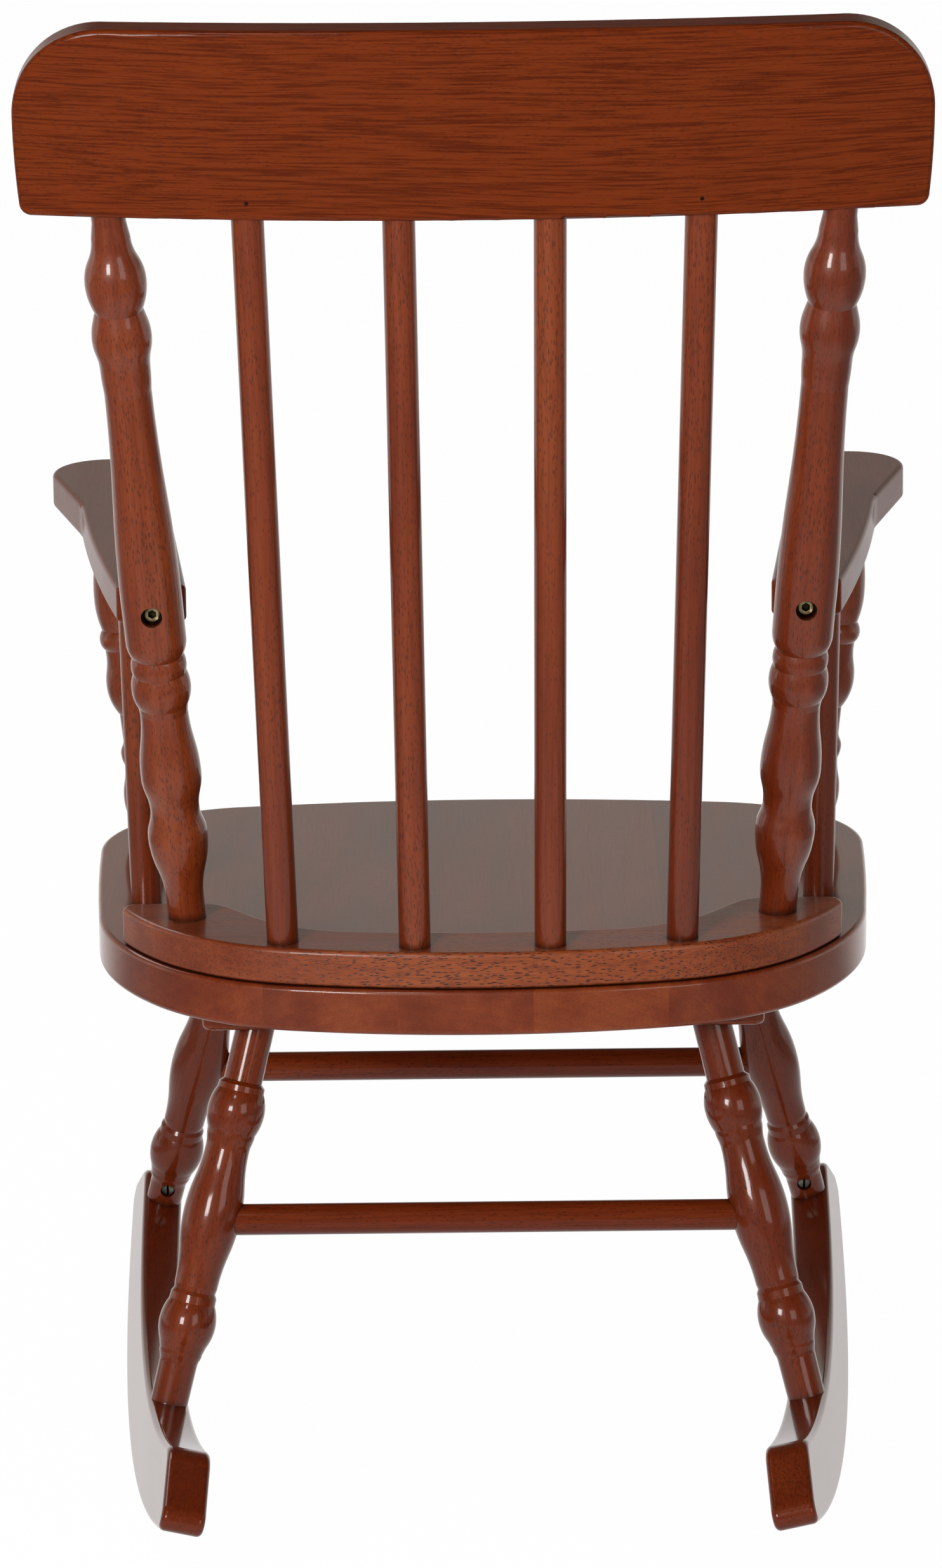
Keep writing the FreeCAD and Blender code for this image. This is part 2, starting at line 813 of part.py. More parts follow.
def bolt_hole(name, place, length, counterbore):
    gap = size.fit_clearance
    return stepped_body(name, place, [
        (size.counterbore_radius, -counterbore),
        (size.counterbore_radius, NOUGHT),
        (size.bolt_radius + gap, NOUGHT),
        (size.bolt_radius + gap, length + gap),
    ])


# ---------------------------------------------------------------- the chair

gap = size.fit_clearance
margin = size.socket_margin
nodes = {}
seat_holes = []
yoke_holes = []
crest_holes = []
batten_holes = {"front": [], "rear": []}

# the spindles between the yoke and the crest rail, left to right
inner = size.inner_spindle_foot, NOUGHT, size.inner_spindle_top
outer = size.outer_spindle_foot, size.outer_spindle_foot_y, size.outer_spindle_top
crest_frame = crest_place()
brads = []
for number, (spindle, side) in enumerate(((outer, 1), (inner, 1), (inner, -1), (outer, -1)), start=1):
    name = f"back_spindle_{number}"
    foot, top = spindle_ends(*spindle, side)
    place = upright(foot, top)
    length = distance(foot, top)
    shoulder = length + size.crest_housing
    tip = length + size.crest_tenon_length
    body = stepped_body(name + "_dowel", place, [
        (size.dowel_radius, -size.yoke_socket_depth),
        (size.dowel_radius, shoulder),
        (size.crest_tenon_radius, shoulder),
        (size.crest_tenon_radius, tip),
    ])
    crest_holes.append(stepped_body(name + "_mortise", place, [
        (size.dowel_radius + gap, length - margin),
        (size.dowel_radius + gap, shoulder + gap),
        (size.crest_tenon_radius + gap, shoulder + gap),
        (size.crest_tenon_radius + gap, tip + gap),
    ]))
    yoke_holes.append(cylinder(name + "_socket", place, size.dowel_radius + gap,
                               -size.yoke_socket_depth - gap, margin))
    if number in (1, 4):
        rear_face = Vector(side * float(size.outer_spindle_top), 0, float(size.brad_height))
        bend = float(crest_bow(size.crest_bend_radius + size.crest_thickness / 2, size.outer_spindle_top))
        rear_face.y = float(size.crest_thickness) / 2 - bend - float(size.brad_recess)
        pin_place = crest_frame.multiply(Placement(rear_face, Rotation(Vector(0, 0, 1), Vector(0, -1, 0))))
        brads.append(cylinder(name + "_brad", pin_place, size.brad_radius, NOUGHT, size.brad_length))
        hole = cylinder(name + "_brad_hole", pin_place, size.brad_radius + gap,
                        -margin, size.brad_length + gap)
        crest_holes.append(hole)
        body = cut(name, body, [hole])
    nodes[name] = body

# the turned posts at the ends of the back, with a bolt through each into the arm
arm_bolts, arm_inserts = [], []
arm_holes = {"left": [], "right": []}
for side_name, side in SIDES:
    name = f"back_post_{side_name}"
    foot, top = back_post_ends(side)
    place = upright(foot, top)
    length = distance(foot, top)
    shoulder = length + size.crest_housing
    tip = length + size.crest_tenon_length
    turned = turned_body(name + "_turning", place, turned_outline(
        "back_post", BACK_POST, -size.yoke_socket_depth, size.back_post_foot_radius, [
            (size.back_post_top_radius, shoulder),
            (size.crest_tenon_radius, shoulder),
            (size.crest_tenon_radius, tip),
        ]))
    crest_holes.append(stepped_body(name + "_mortise", place, [
        (size.back_post_top_radius + gap, length - margin),
        (size.back_post_top_radius + gap, shoulder + gap),
        (size.crest_tenon_radius + gap, shoulder + gap),
        (size.crest_tenon_radius + gap, tip + gap),
    ]))
    yoke_holes.append(cylinder(name + "_socket", place, size.back_post_foot_radius + gap,
                               -size.yoke_socket_depth - gap, margin))
    share = (size.arm_bolt_z - foot[2]) / (top[2] - foot[2])
    axis_x = foot[0] + (top[0] - foot[0]) * share
    axis_y = foot[1] + (top[1] - foot[1]) * share
    seat_y = axis_y + size.arm_bolt_seat
    forward = Rotation(Vector(0, 0, 1), Vector(0, -1, 0))
    bolt_place = Placement(vector((axis_x, seat_y, size.arm_bolt_z)), forward)
    arm_bolts.append(bolt(name + "_bolt", bolt_place, size.arm_bolt_length))
    bore = bolt_hole(name + "_bolt_hole", bolt_place, size.arm_bolt_length, size.counterbore_depth)
    insert_start = size.arm_bolt_seat + size.arm_insert_recess
    insert_end = insert_start + size.arm_insert_length
    sleeve = cylinder(name + "_sleeve", bolt_place, size.arm_insert_radius, insert_start, insert_end)
    arm_inserts.append(cut(name + "_insert", sleeve, [
        cylinder(name + "_insert_bore", bolt_place, size.bolt_radius + gap,
                 insert_start - margin, insert_end + margin),
    ]))
    arm_holes[side_name] += [
        turned_body(name + "_cope", place, turned_outline(
            "back_post", BACK_POST, NOUGHT, size.back_post_foot_radius,
            [(size.back_post_top_radius, length)])),
        stepped_body(name + "_insert_hole", bolt_place, [
            (size.arm_insert_radius + gap, insert_start - margin),
            (size.arm_insert_radius + gap, insert_end + gap),
            (size.bolt_radius + gap, insert_end + gap),
            (size.bolt_radius + gap, size.arm_bolt_length + gap),
        ]),
    ]
    nodes[name] = cut(name, turned, [bore])

# arms on their turned posts and plain dowels
for side_name, side in SIDES:
    under_arm = size.arm_top - size.arm_thickness
    supports = {
        "arm_post": (
            (size.arm_post_foot_x * side, -size.arm_post_y, NOUGHT),
            (size.arm_post_top_x * side, -size.arm_post_y, under_arm),
        ),
        "arm_spindle": (
            (size.arm_spindle_foot_x * side, -size.arm_spindle_foot_y, NOUGHT),
            (size.arm_spindle_top_x * side, -size.arm_spindle_top_y, under_arm),
        ),
    }
    for piece, (foot, top) in supports.items():
        name = f"{piece}_{side_name}"
        place = upright(foot, top)
        tip = distance(foot, top) + size.arm_socket_depth
        if piece == "arm_post":
            foot_radius, top_radius = size.arm_post_foot_radius, size.arm_post_wrist_radius
            outline = turned_outline("arm_post", ARM_POST, -size.seat_socket_depth, foot_radius,
                                     [(top_radius, tip)])
            nodes[name] = turned_body(name, place, outline)
        else:
            foot_radius = top_radius = size.dowel_radius
            nodes[name] = cylinder(name, place, foot_radius, -size.seat_socket_depth, tip)
        seat_holes.append(cylinder(name + "_seat_socket", place, foot_radius + gap,
                                   -size.seat_socket_depth - gap, margin))
        arm_holes[side_name].append(cylinder(name + "_arm_socket", place, top_radius + gap,
                                             tip - size.arm_socket_depth - margin, tip + gap))
    nodes[f"arm_{side_name}"] = cut(f"arm_{side_name}", make_arm(f"arm_board_{side_name}", side),
                                    arm_holes[side_name])

# legs, each bolted up through its rocker into a barrel nut
rocker_holes = {"left": [], "right": []}
leg_holes = {}
rocker_bolts, barrel_nuts = [], []
stretcher_bore = size.stretcher_embed - size.leg_swell_radius
for pair in ("rear", "front"):
    end_x, end_y, end_z = stretcher_end(pair)
    reach = end_x + stretcher_bore
    beam = Placement(vector((NOUGHT, end_y, end_z)), Rotation(Vector(0, 0, 1), Vector(1, 0, 0)))
    nodes[f"{pair}_stretcher"] = cylinder(f"{pair}_stretcher", beam, size.dowel_radius, -reach, reach)
    hollow = cylinder(f"{pair}_stretcher_room", beam, size.dowel_radius + gap, -reach - gap, reach + gap)
    for side_name, side in SIDES:
        name = f"{pair}_leg_{side_name}"
        top = leg_point(pair, side, NOUGHT)
        length = getattr(size, f"{pair}_leg_length")
        place = upright(top, leg_point(pair, side, length))
        turned = turned_body(name + "_turning", place, turned_outline(
            "leg", LEG, -size.seat_socket_depth, size.leg_shaft_radius,
            [(size.leg_foot_radius, length + size.leg_foot_allowance)]))
        socket = cylinder(name + "_socket", place, size.leg_shaft_radius + gap,
                          -size.seat_socket_depth - gap, size.batten_thickness + margin)
        seat_holes.append(socket)
        batten_holes[pair].append(socket)
        nut_at = length - size.barrel_nut_rise
        leg_axis = place.Rotation.multVec(Vector(0, 0, 1))
        board_face = rocker_place(side).Rotation.multVec(Vector(0, 0, 1))
        across = leg_axis.cross(board_face)
        if (across.y > 0) == (pair == "rear"):
            across = across * -1
        nut_place = Placement(place.multVec(Vector(0, 0, float(nut_at))), Rotation(Vector(0, 0, 1), across))
        nut = cylinder(name + "_nut_blank", nut_place, size.barrel_nut_radius,
                       -size.barrel_nut_half_length, size.barrel_nut_half_length)
        nut_room = cylinder(name + "_nut_room", nut_place, size.barrel_nut_radius + gap,
                            -size.barrel_nut_half_length - gap, size.barrel_nut_half_length + margin)
        up_axis = Placement(place.multVec(Vector(0, 0, float(length + size.rocker_bolt_seat))),
                            place.Rotation.multiply(Rotation(Vector(1, 0, 0), 180)))
        shank = size.rocker_bolt_seat + size.barrel_nut_rise + size.rocker_bolt_past_nut
        rocker_bolts.append(bolt(name + "_bolt", up_axis, shank))
        bore = bolt_hole(name + "_bolt_hole", up_axis, shank, size.counterbore_depth)
        rocker_holes[side_name].append(bore)
        barrel_nuts.append(cut(name + "_nut", nut, [
            cylinder(name + "_nut_thread", up_axis, size.bolt_radius + gap, NOUGHT, shank + margin),
        ]))
        leg_holes[name] = turned, [hollow, nut_room, bore]

for side_name, side in SIDES:
    blank = make_rocker(f"rocker_blank_{side_name}", side, plain=True)
    board = make_rocker(f"rocker_board_{side_name}", side, plain=False)
    nodes[f"rocker_{side_name}"] = cut(f"rocker_{side_name}", board, rocker_holes[side_name])
    for pair in ("rear", "front"):
        name = f"{pair}_leg_{side_name}"
        turned, holes = leg_holes[name]
        scribed = cut(name + "_scribed", turned, [blank])
        nodes[name] = cut(name, scribed, holes)

# the screws that hold the battens and the yoke, all driven up from below
up = Rotation()
batten_screws, yoke_screws = [], []
for pair in ("front", "rear"):
    middle_y = size.front_leg_y if pair == "front" else size.rear_leg_y
    head_z = size.screw_recess - size.seat_thickness - size.batten_thickness
    for number, step in enumerate((-1.5, -0.5, 0.5, 1.5), start=1):
        place = Placement(vector((size.batten_screw_spacing * step, -middle_y, head_z)), up)
        name = f"{pair}_batten_screw_{number}"
        batten_screws.append(screw(name, place, size.batten_screw_length))
        hole = screw_hole(name + "_hole", place, size.batten_screw_length)
        seat_holes.append(hole)
        batten_holes[pair].append(hole)
    nodes[f"seat_batten_{pair}"] = cut(f"seat_batten_{pair}", make_batten(f"batten_board_{pair}", middle_y),
                                       batten_holes[pair])
for number, step in enumerate((-1, 0, 1), start=1):
    head_z = size.screw_recess - size.seat_thickness
    place = Placement(vector((size.yoke_screw_spacing * step, -size.yoke_screw_y, head_z)), up)
    name = f"yoke_screw_{number}"
    yoke_screws.append(screw(name, place, size.yoke_screw_length))
    hole = screw_hole(name + "_hole", place, size.yoke_screw_length)
    seat_holes.append(hole)
    yoke_holes.append(hole)

nodes["seat"] = cut("seat", make_seat(), seat_holes)
nodes["back_yoke"] = cut("back_yoke", make_yoke(), yoke_holes)
nodes["crest_rail"] = cut("crest_rail", make_crest(), crest_holes)
STEEL = {
    "arm_bolts": arm_bolts,
    "arm_inserts": arm_inserts,
    "rocker_bolts": rocker_bolts,
    "barrel_nuts": barrel_nuts,
    "batten_screws": batten_screws,
    "yoke_screws": yoke_screws,
    "crest_brads": brads,
}
for name, pieces in STEEL.items():
    nodes[name] = group(name, pieces)
doc.recompute()


# ---------------------------------------------------------------- at rest on the floor

def balance():
    """The chair's centre of weight."""
    total, moment = 0, Vector()
    for name, node in nodes.items():
        weight = float(size.steel_weight) if name in STEEL else 1
        for solid in node.Shape.Solids:
            total += solid.Volume * weight
            moment += solid.CenterOfMass * (solid.Volume * weight)
    return moment / total


def height_above_floor(weight, lean):
    """How high the centre of weight stands over the floor, with the chair leaned back by an angle."""
    up = Vector(0, -math.sin(lean), math.cos(lean))
    place = rocker_place(1)
    across = place.Rotation.multVec(Vector(0, 0, 1))
    ease = float(size.rocker_edge_radius)
    radius = float(size.rocker_radius)
    edge = across * (ease - float(size.rocker_thickness) / 2)
    centre = place.multVec(Vector(0, radius, 0)) + edge
    in_plane = math.sqrt(1 - across.dot(up) ** 2)
    return (weight - centre).dot(up) + (radius - ease) * in_plane + ease


def resting_lean():
    """The lean at which the centre of weight hangs lowest."""
    weight = balance()
    low, high = math.radians(-15), math.radians(15)
    while high - low > 1e-6:
        third = (high - low) / 3
        if height_above_floor(weight, low + third) < height_above_floor(weight, high - third):
            high -= third
        else:
            low += third
    return (low + high) / 2


lean = resting_lean()
turn = Placement(Vector(), Rotation(Vector(1, 0, 0), -math.degrees(lean)))
for node in nodes.values():
    node.Placement = turn.multiply(node.Placement)
doc.recompute()
box = FreeCAD.BoundBox()
for node in nodes.values():
    box.add(node.Shape.optimalBoundingBox(False, False))
set_down = Placement(Vector(0, -(box.YMin + box.YMax) / 2, -box.ZMin), Rotation())
for node in nodes.values():
    node.Placement = set_down.multiply(node.Placement)
doc.recompute()

for item in doc.Objects:
    if "Invalid" in item.State or "Error" in item.State:
        raise RuntimeError(f"{item.Name} did not build")
os.makedirs("parts", exist_ok=True)
for name, node in nodes.items():
    if node.Shape.isNull() or not node.Shape.isValid() or not node.Shape.Solids:
        raise RuntimeError(f"{name} has no sound shape")
    node.Label = name
    node.Shape.exportStep(f"parts/{name}.step")
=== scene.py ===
"""The looks of a child's rocking chair in cherry-stained hardwood: stained and lacquered wood with
grain, rings and pores, plated bolts and nuts, the floor it stands on, the lamps and the camera."""

import bpy
import bmesh
import math
from bpy.props import FloatProperty, FloatVectorProperty, PointerProperty
from bpy.types import Operator, Panel, PropertyGroup
from mathutils import Euler, Matrix, Vector


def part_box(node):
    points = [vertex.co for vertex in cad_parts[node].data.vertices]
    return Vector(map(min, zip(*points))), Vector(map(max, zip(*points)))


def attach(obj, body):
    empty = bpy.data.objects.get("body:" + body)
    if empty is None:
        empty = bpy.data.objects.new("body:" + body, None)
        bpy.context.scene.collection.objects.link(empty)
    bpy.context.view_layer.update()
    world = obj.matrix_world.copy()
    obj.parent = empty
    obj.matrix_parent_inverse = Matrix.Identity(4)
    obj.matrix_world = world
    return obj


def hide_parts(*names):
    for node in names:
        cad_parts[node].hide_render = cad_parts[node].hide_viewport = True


bl_info = {
    "name": "Spindle-back rocking chair",
    "version": (1, 0, 0),
    "blender": (4, 5, 0),
    "location": "View3D > Sidebar > Rocking chair",
    "description": "Finishes the rocking chair's wood and hardware, and sets its stage",
    "category": "Object",
}

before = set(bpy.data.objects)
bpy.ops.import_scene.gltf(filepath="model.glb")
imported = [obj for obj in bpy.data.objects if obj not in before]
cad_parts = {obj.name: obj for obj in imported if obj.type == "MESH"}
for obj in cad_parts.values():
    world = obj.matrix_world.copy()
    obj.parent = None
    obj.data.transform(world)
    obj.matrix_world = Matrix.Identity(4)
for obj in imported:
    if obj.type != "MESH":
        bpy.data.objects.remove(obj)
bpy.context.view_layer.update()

ALONG_X, ALONG_Y = (1, 0, 0), (0, 1, 0)
WHITE = (1, 1, 1)

# Turned pieces and dowels whose grain runs along their own line
UPRIGHTS = (
    "back_post_left", "back_post_right",
    "back_spindle_1", "back_spindle_2", "back_spindle_3", "back_spindle_4",
    "arm_post_left", "arm_post_right", "arm_spindle_left", "arm_spindle_right",
    "front_leg_left", "front_leg_right", "rear_leg_left", "rear_leg_right",
)
# How the stain and lacquer took: how light the stain is, how much the pores and the streaks show,
# how much the wood shines under its lacquer, and how thick the lacquer lies
POST_LOOK = {"tone": -0.02, "pores": 0.5, "streaks": 0.3, "shine": 0.42, "lacquer": 1.0}
# The legs' darker tone is partly painted shade, for the light that falls off towards the floor
LEG_LOOK = {"tone": -0.13, "pores": 0.5, "streaks": 0.3, "shine": 0.2, "lacquer": 1.0}
SEAT_LOOK = {"tone": 0.04, "pores": 0.15, "streaks": 0.25, "shine": 0.4, "lacquer": 1.0}
CREST_LOOK = {"tone": -0.29, "pores": 0.26, "streaks": 0.8, "shine": 0.03, "lacquer": 0.4}
YOKE_LOOK = {"tone": 0.04, "pores": 0.85, "streaks": 0.4, "shine": 0.4, "lacquer": 0.35}
BATTEN_LOOK = {"tone": 0.0, "pores": 0.5, "streaks": 0.4, "shine": 0.2, "lacquer": 1.0}
FRONT_STRETCHER_LOOK = {"tone": -0.12, "pores": 0.5, "streaks": 0.4, "shine": 0.05, "lacquer": 0.9}
REAR_STRETCHER_LOOK = {"tone": -0.18, "pores": 0.5, "streaks": 0.4, "shine": 0.05, "lacquer": 0.8}
LEFT_ARM_LOOK = {"tone": -0.45, "pores": 0.3, "streaks": 0.35, "shine": 0.05, "lacquer": 0.5}
RIGHT_ARM_LOOK = {"tone": -0.45, "pores": 0.3, "streaks": 0.35, "shine": 0.05, "lacquer": 0.4}
LEFT_ROCKER_LOOK = {"tone": -0.2, "pores": 0.4, "streaks": 0.4, "shine": 0.1, "lacquer": 1.0}
RIGHT_ROCKER_LOOK = {"tone": -0.16, "pores": 0.4, "streaks": 0.4, "shine": 0.1, "lacquer": 0.85}

# Turned pieces differ a little from one to the next
TURNED_TONES = (0.0, 0.05, -0.04, 0.02)

# Each piece comes from its own part of the tree: the way from one to the next along the grain, and
# where the heart of the tree lies beside a piece, in metres
TURNED_SPACING, BOARD_SPACING = 0.31, 0.47
TURNED_HEARTS = (0.028, 0.039, 0.050, 0.061)
TURNED_HEART_ANGLE = 2.4    # radians around the piece from one heart to the next
BOARD_HEARTS = ((-0.02, 0.03, -0.09), (0, 0.03, -0.12), (0.02, 0.03, -0.15))
SEAT_HEART = (0.02, 0, -0.13)

# The way of the grain and the look of each board
BOARDS = {
    "crest_rail": (ALONG_X, CREST_LOOK),
    "back_yoke": (ALONG_X, YOKE_LOOK),
    "seat_batten_front": (ALONG_X, BATTEN_LOOK),
    "seat_batten_rear": (ALONG_X, BATTEN_LOOK),
    "front_stretcher": (ALONG_X, FRONT_STRETCHER_LOOK),
    "rear_stretcher": (ALONG_X, REAR_STRETCHER_LOOK),
    "arm_left": (ALONG_Y, LEFT_ARM_LOOK),
    "arm_right": (ALONG_Y, RIGHT_ARM_LOOK),
    "rocker_left": (ALONG_Y, LEFT_ROCKER_LOOK),
    "rocker_right": (ALONG_Y, RIGHT_ROCKER_LOOK),
}

# Radius that the crest rail is bent to, in metres, and how its ends come forwards and up
CREST_BEND = 1.32
CREST_BEND_FORWARDS, CREST_BEND_UP = 0.98, 0.2

# Details of the fasteners that no setting changes, in metres
EDGE_ROUND = 0.0006         # rounding of a bolt head's rim, and length of a bolt's pointed end
POINT_SHARE = 0.8           # width of a bolt's end, as a share of its shank
KEY_DEPTH = 0.0028          # depth of the hexagon socket
NUT_ROUND = 0.0004          # rounding of a barrel nut's ends
NUT_SLOT_DEPTH = 0.0014
SCREW_POINT = 0.004         # length of a wood screw's point
SCREW_POINT_SHARE = 0.25    # width at its tip, as a share of the shank
CROSS_WIDTH, CROSS_DEPTH = 0.0009, 0.0016
CROSS_SHARE = 1.15          # length of each slot of a cross, as a share of the head's radius
BRAD_DIMPLE = 0.0003        # depth of the dimple in a brad's head
SMOOTH_ANGLE = math.radians(35)     # faces that meet at less than this look round

ZINC_ROUGHNESS, NUT_ROUGHNESS, BRAD_ROUGHNESS = 0.36, 0.42, 0.6
BRAD_COLOUR = (0.05, 0.02, 0.012)
# Colour of the painted shade in the fasteners' sockets and slots
PAINTED_SOCKET_SHADE = (0.01, 0.008, 0.005)
COAT_IOR = 1.3

# Points nearer than this are one point, and so on for heights and widths, in metres
SAME_POINT, SAME_HEIGHT, SAME_WIDTH = 1e-6, 1e-5, 1e-4
# Vertices this near to a round solid's end are its rim, and this near, part of its head
RIM_DEPTH, HEAD_DEPTH = 2e-4, 1e-3

# Lamps: place, point they face, width, height and watts
LAMPS = {
    "key_box": ((1.15, 2.6, 1.15), (0, 0, 0.42), 0.7, 0.7, 61),
    "fill_box": ((-1.5, 2.6, 1.0), (0, 0, 0.42), 1.2, 1.2, 18),
    "front_box": ((1.4, -1.9, 2.2), (0, 0, 0.4), 1.2, 1.2, 16),
    "left_box": ((2.3, -0.6, 0.9), (0, 0, 0.4), 0.7, 1.6, 2.5),
    "right_box": ((-2.3, -0.6, 0.9), (0, 0, 0.4), 0.7, 1.6, 1.5),
    "top_box": ((0.45, 1.7, 2.3), (0, 0, 0.4), 0.3, 0.3, 7),
}
# Light from around the studio on matt surfaces, and how much of the floor is plain white
ROOM_LIGHT = 0.16
FLOOR_WHITE = 0.985
WARM_WHITE = (1.0, 1.0, 0.93)


# ---------------------------------------------------------------- settings

class WoodSettings(PropertyGroup):
    dark_stain: FloatVectorProperty(
        name="Dark stain", description="Colour of the dense late wood", subtype="COLOR", size=3,
        min=0, max=1, default=(0.075, 0.0110, 0.0025))
    mid_stain: FloatVectorProperty(
        name="Stain", description="Colour of most of the wood", subtype="COLOR", size=3,
        min=0, max=1, default=(0.225, 0.040, 0.0070))
    light_stain: FloatVectorProperty(
        name="Light stain", description="Colour of the open early wood", subtype="COLOR", size=3,
        min=0, max=1, default=(0.330, 0.086, 0.0200))
    # colour of the stain in the pores, and also of the painted shade in the grooves and corners
    pore_and_painted_shade_colour: FloatVectorProperty(
        name="Pores", description="Colour of the stain caught in the pores", subtype="COLOR", size=3,
        min=0, max=1, default=(0.020, 0.0042, 0.0018))
    ring_width: FloatProperty(
        name="Ring width", description="Distance between growth rings", subtype="DISTANCE",
        default=0.0052, min=0.001, max=0.02)
    pore_length: FloatProperty(
        name="Pore length", description="Length of a pore along the grain", subtype="DISTANCE",
        default=0.0045, min=0.001, max=0.02)
    pore_width: FloatProperty(
        name="Pore spacing", description="Distance between pores across the grain", subtype="DISTANCE",
        default=0.0010, min=0.0003, max=0.005)
    roughness: FloatProperty(
        name="Roughness", description="Roughness of the stained wood under the lacquer", subtype="FACTOR",
        default=0.42, min=0, max=1)
    lacquer: FloatProperty(
        name="Lacquer", description="Strength of the clear lacquer", subtype="FACTOR",
        default=0.9, min=0, max=1)
    lacquer_roughness: FloatProperty(
        name="Lacquer roughness", description="How matt the lacquer is", subtype="FACTOR",
        default=0.1, min=0, max=1)
    lacquer_tint: FloatVectorProperty(
        name="Lacquer tint", description="Toner in the lacquer, which darkens edges seen aslant",
        subtype="COLOR", size=3, min=0, max=1, default=(0.72, 0.54, 0.46))
    board_width: FloatProperty(
        name="Seat board width", description="Width of the boards glued up for the seat",
        subtype="DISTANCE", default=0.068, min=0.02, max=0.2)


class MetalSettings(PropertyGroup):
    zinc: FloatVectorProperty(
        name="Yellow zinc", description="Colour of the plated bolts and screws", subtype="COLOR", size=3,
        min=0, max=1, default=(0.60, 0.48, 0.25))
    nut_steel: FloatVectorProperty(
        name="Nut steel", description="Colour of the barrel nuts and brads", subtype="COLOR", size=3,
        min=0, max=1, default=(0.33, 0.34, 0.29))
    bolt_head: FloatProperty(
        name="Bolt head", description="Diameter of a socket head", subtype="DISTANCE",
        default=0.0084, min=0.004, max=0.02)
    bolt_head_height: FloatProperty(
        name="Bolt head height", description="Height of a socket head", subtype="DISTANCE",
        default=0.005, min=0.002, max=0.01)
    bolt_shank: FloatProperty(
        name="Bolt shank", description="Diameter of a bolt's shank", subtype="DISTANCE",
        default=0.005, min=0.003, max=0.01)
    nut_diameter: FloatProperty(
        name="Barrel nut", description="Diameter of a barrel nut", subtype="DISTANCE",
        default=0.0076, min=0.005, max=0.02)
    screw_head: FloatProperty(
        name="Screw head", description="Diameter of a countersunk head", subtype="DISTANCE",
        default=0.008, min=0.004, max=0.02)
    screw_head_height: FloatProperty(
        name="Screw head height", description="Depth of the countersunk head", subtype="DISTANCE",
        default=0.0026, min=0.001, max=0.006)
    screw_shank: FloatProperty(
        name="Screw shank", description="Diameter of a screw's shank", subtype="DISTANCE",
        default=0.0038, min=0.002, max=0.008)
    brad_diameter: FloatProperty(
        name="Brad", description="Diameter of a brad", subtype="DISTANCE",
        default=0.0018, min=0.001, max=0.004)
    key_size: FloatProperty(
        name="Key size", description="Hexagon key across flats", subtype="DISTANCE",
        default=0.004, min=0.001, max=0.01)
    slot_width: FloatProperty(
        name="Slot width", description="Width of a driver slot", subtype="DISTANCE",
        default=0.0013, min=0.0003, max=0.004)


class StageSettings(PropertyGroup):
    floor_colour: FloatVectorProperty(
        name="Floor", description="Colour of the floor", subtype="COLOR", size=3,
        min=0, max=1, default=(0.85, 0.85, 0.85))
    floor_size: FloatProperty(
        name="Floor size", description="Side of the floor", subtype="DISTANCE",
        default=60, min=2, max=200)
    camera_distance: FloatProperty(
        name="Camera distance", description="From the camera to the plane of the back, along the floor",
        subtype="DISTANCE", default=3.3955, min=0.5, max=20)
    camera_height: FloatProperty(
        name="Camera height", description="Height of the camera over the floor", subtype="DISTANCE",
        default=1.1931, min=0, max=10)
    camera_side: FloatProperty(
        name="Camera side step", description="How far the camera stands to the sitter's left",
        subtype="DISTANCE", default=-0.0037, min=-5, max=5)
    camera_pitch: FloatProperty(
        name="Camera pitch", description="How far the camera looks down", subtype="ANGLE",
        default=math.radians(13.954), min=-1.5, max=1.5)
    camera_turn: FloatProperty(
        name="Camera turn", description="How far the camera looks towards the sitter's right",
        subtype="ANGLE", default=math.radians(0.149), min=-1.5, max=1.5)
    camera_roll: FloatProperty(
        name="Camera roll", description="How far the camera leans over", subtype="ANGLE",
        default=-0.0115, min=-1, max=1)
    lens: FloatProperty(
        name="Lens", description="Focal length for a picture 36 mm high", subtype="DISTANCE_CAMERA",
        default=156.82, min=10, max=500)
    lamp_power: FloatProperty(
        name="Lamp power", description="Multiplies every lamp", default=1, min=0, max=10)


# ---------------------------------------------------------------- node building

def new_material(name):
    material = bpy.data.materials.new(name)
    material.use_nodes = True
    material.node_tree.nodes.clear()
    return material


class Tree:
    """A short way to add and join shader nodes."""

    def __init__(self, tree):
        self.tree = tree

    def put(self, socket, value):
        """Gives a socket a link or a constant."""
        if isinstance(value, bpy.types.NodeSocket):
            self.tree.links.new(value, socket)
        elif socket.type == "RGBA":
            socket.default_value = (*value[:3], 1)
        else:
            socket.default_value = value

    def add(self, kind, settings=None, **inputs):
        node = self.tree.nodes.new("ShaderNode" + kind)
        for key, value in (settings or {}).items():
            setattr(node, key, value)
        for key, value in inputs.items():
            self.feed(node, key.replace("_", " "), value)
        return node

    def feed(self, node, key, value):
        for socket in node.inputs:
            if socket.name.lower() == key.lower() and socket.enabled:
                self.put(socket, value)
                return
        raise KeyError(f"{node.bl_idname} has no input {key}")

    def math(self, operation, first, second=0.0, third=0.0):
        node = self.add("Math", {"operation": operation})
        for socket, value in zip(node.inputs, (first, second, third)):
            self.put(socket, value)
        return node.outputs[0]

    def times(self, first, second):
        return self.math("MULTIPLY", first, second)

    def ramp(self, value, low, high):
        """0 below low, 1 above high, smooth between."""
        return self.add("MapRange", {"interpolation_type": "SMOOTHSTEP"}, Value=value,
                        From_Min=low, From_Max=high).outputs["Result"]

    def blend(self, factor, first, second):
        """A colour that goes from the first to the second as the factor rises."""
        node = self.add("Mix", {"data_type": "RGBA"})
        for number, value in ((0, factor), (6, first), (7, second)):
            self.put(node.inputs[number], value)
        return node.outputs[2]

    def vector(self, operation, *values):
        node = self.add("VectorMath", {"operation": operation})
        for socket, value in zip(node.inputs, values):
            self.put(socket, value)
        return node.outputs[0]

    def scaled(self, vector, scale):
        return self.vector("MULTIPLY", vector, scale)

    def split(self, vector):
        """The X, Y and Z of a vector."""
        return self.add("SeparateXYZ", Vector=vector).outputs

    def end(self, kind, surface):
        """The output that shows a finished surface."""
        self.add(kind, Surface=surface)


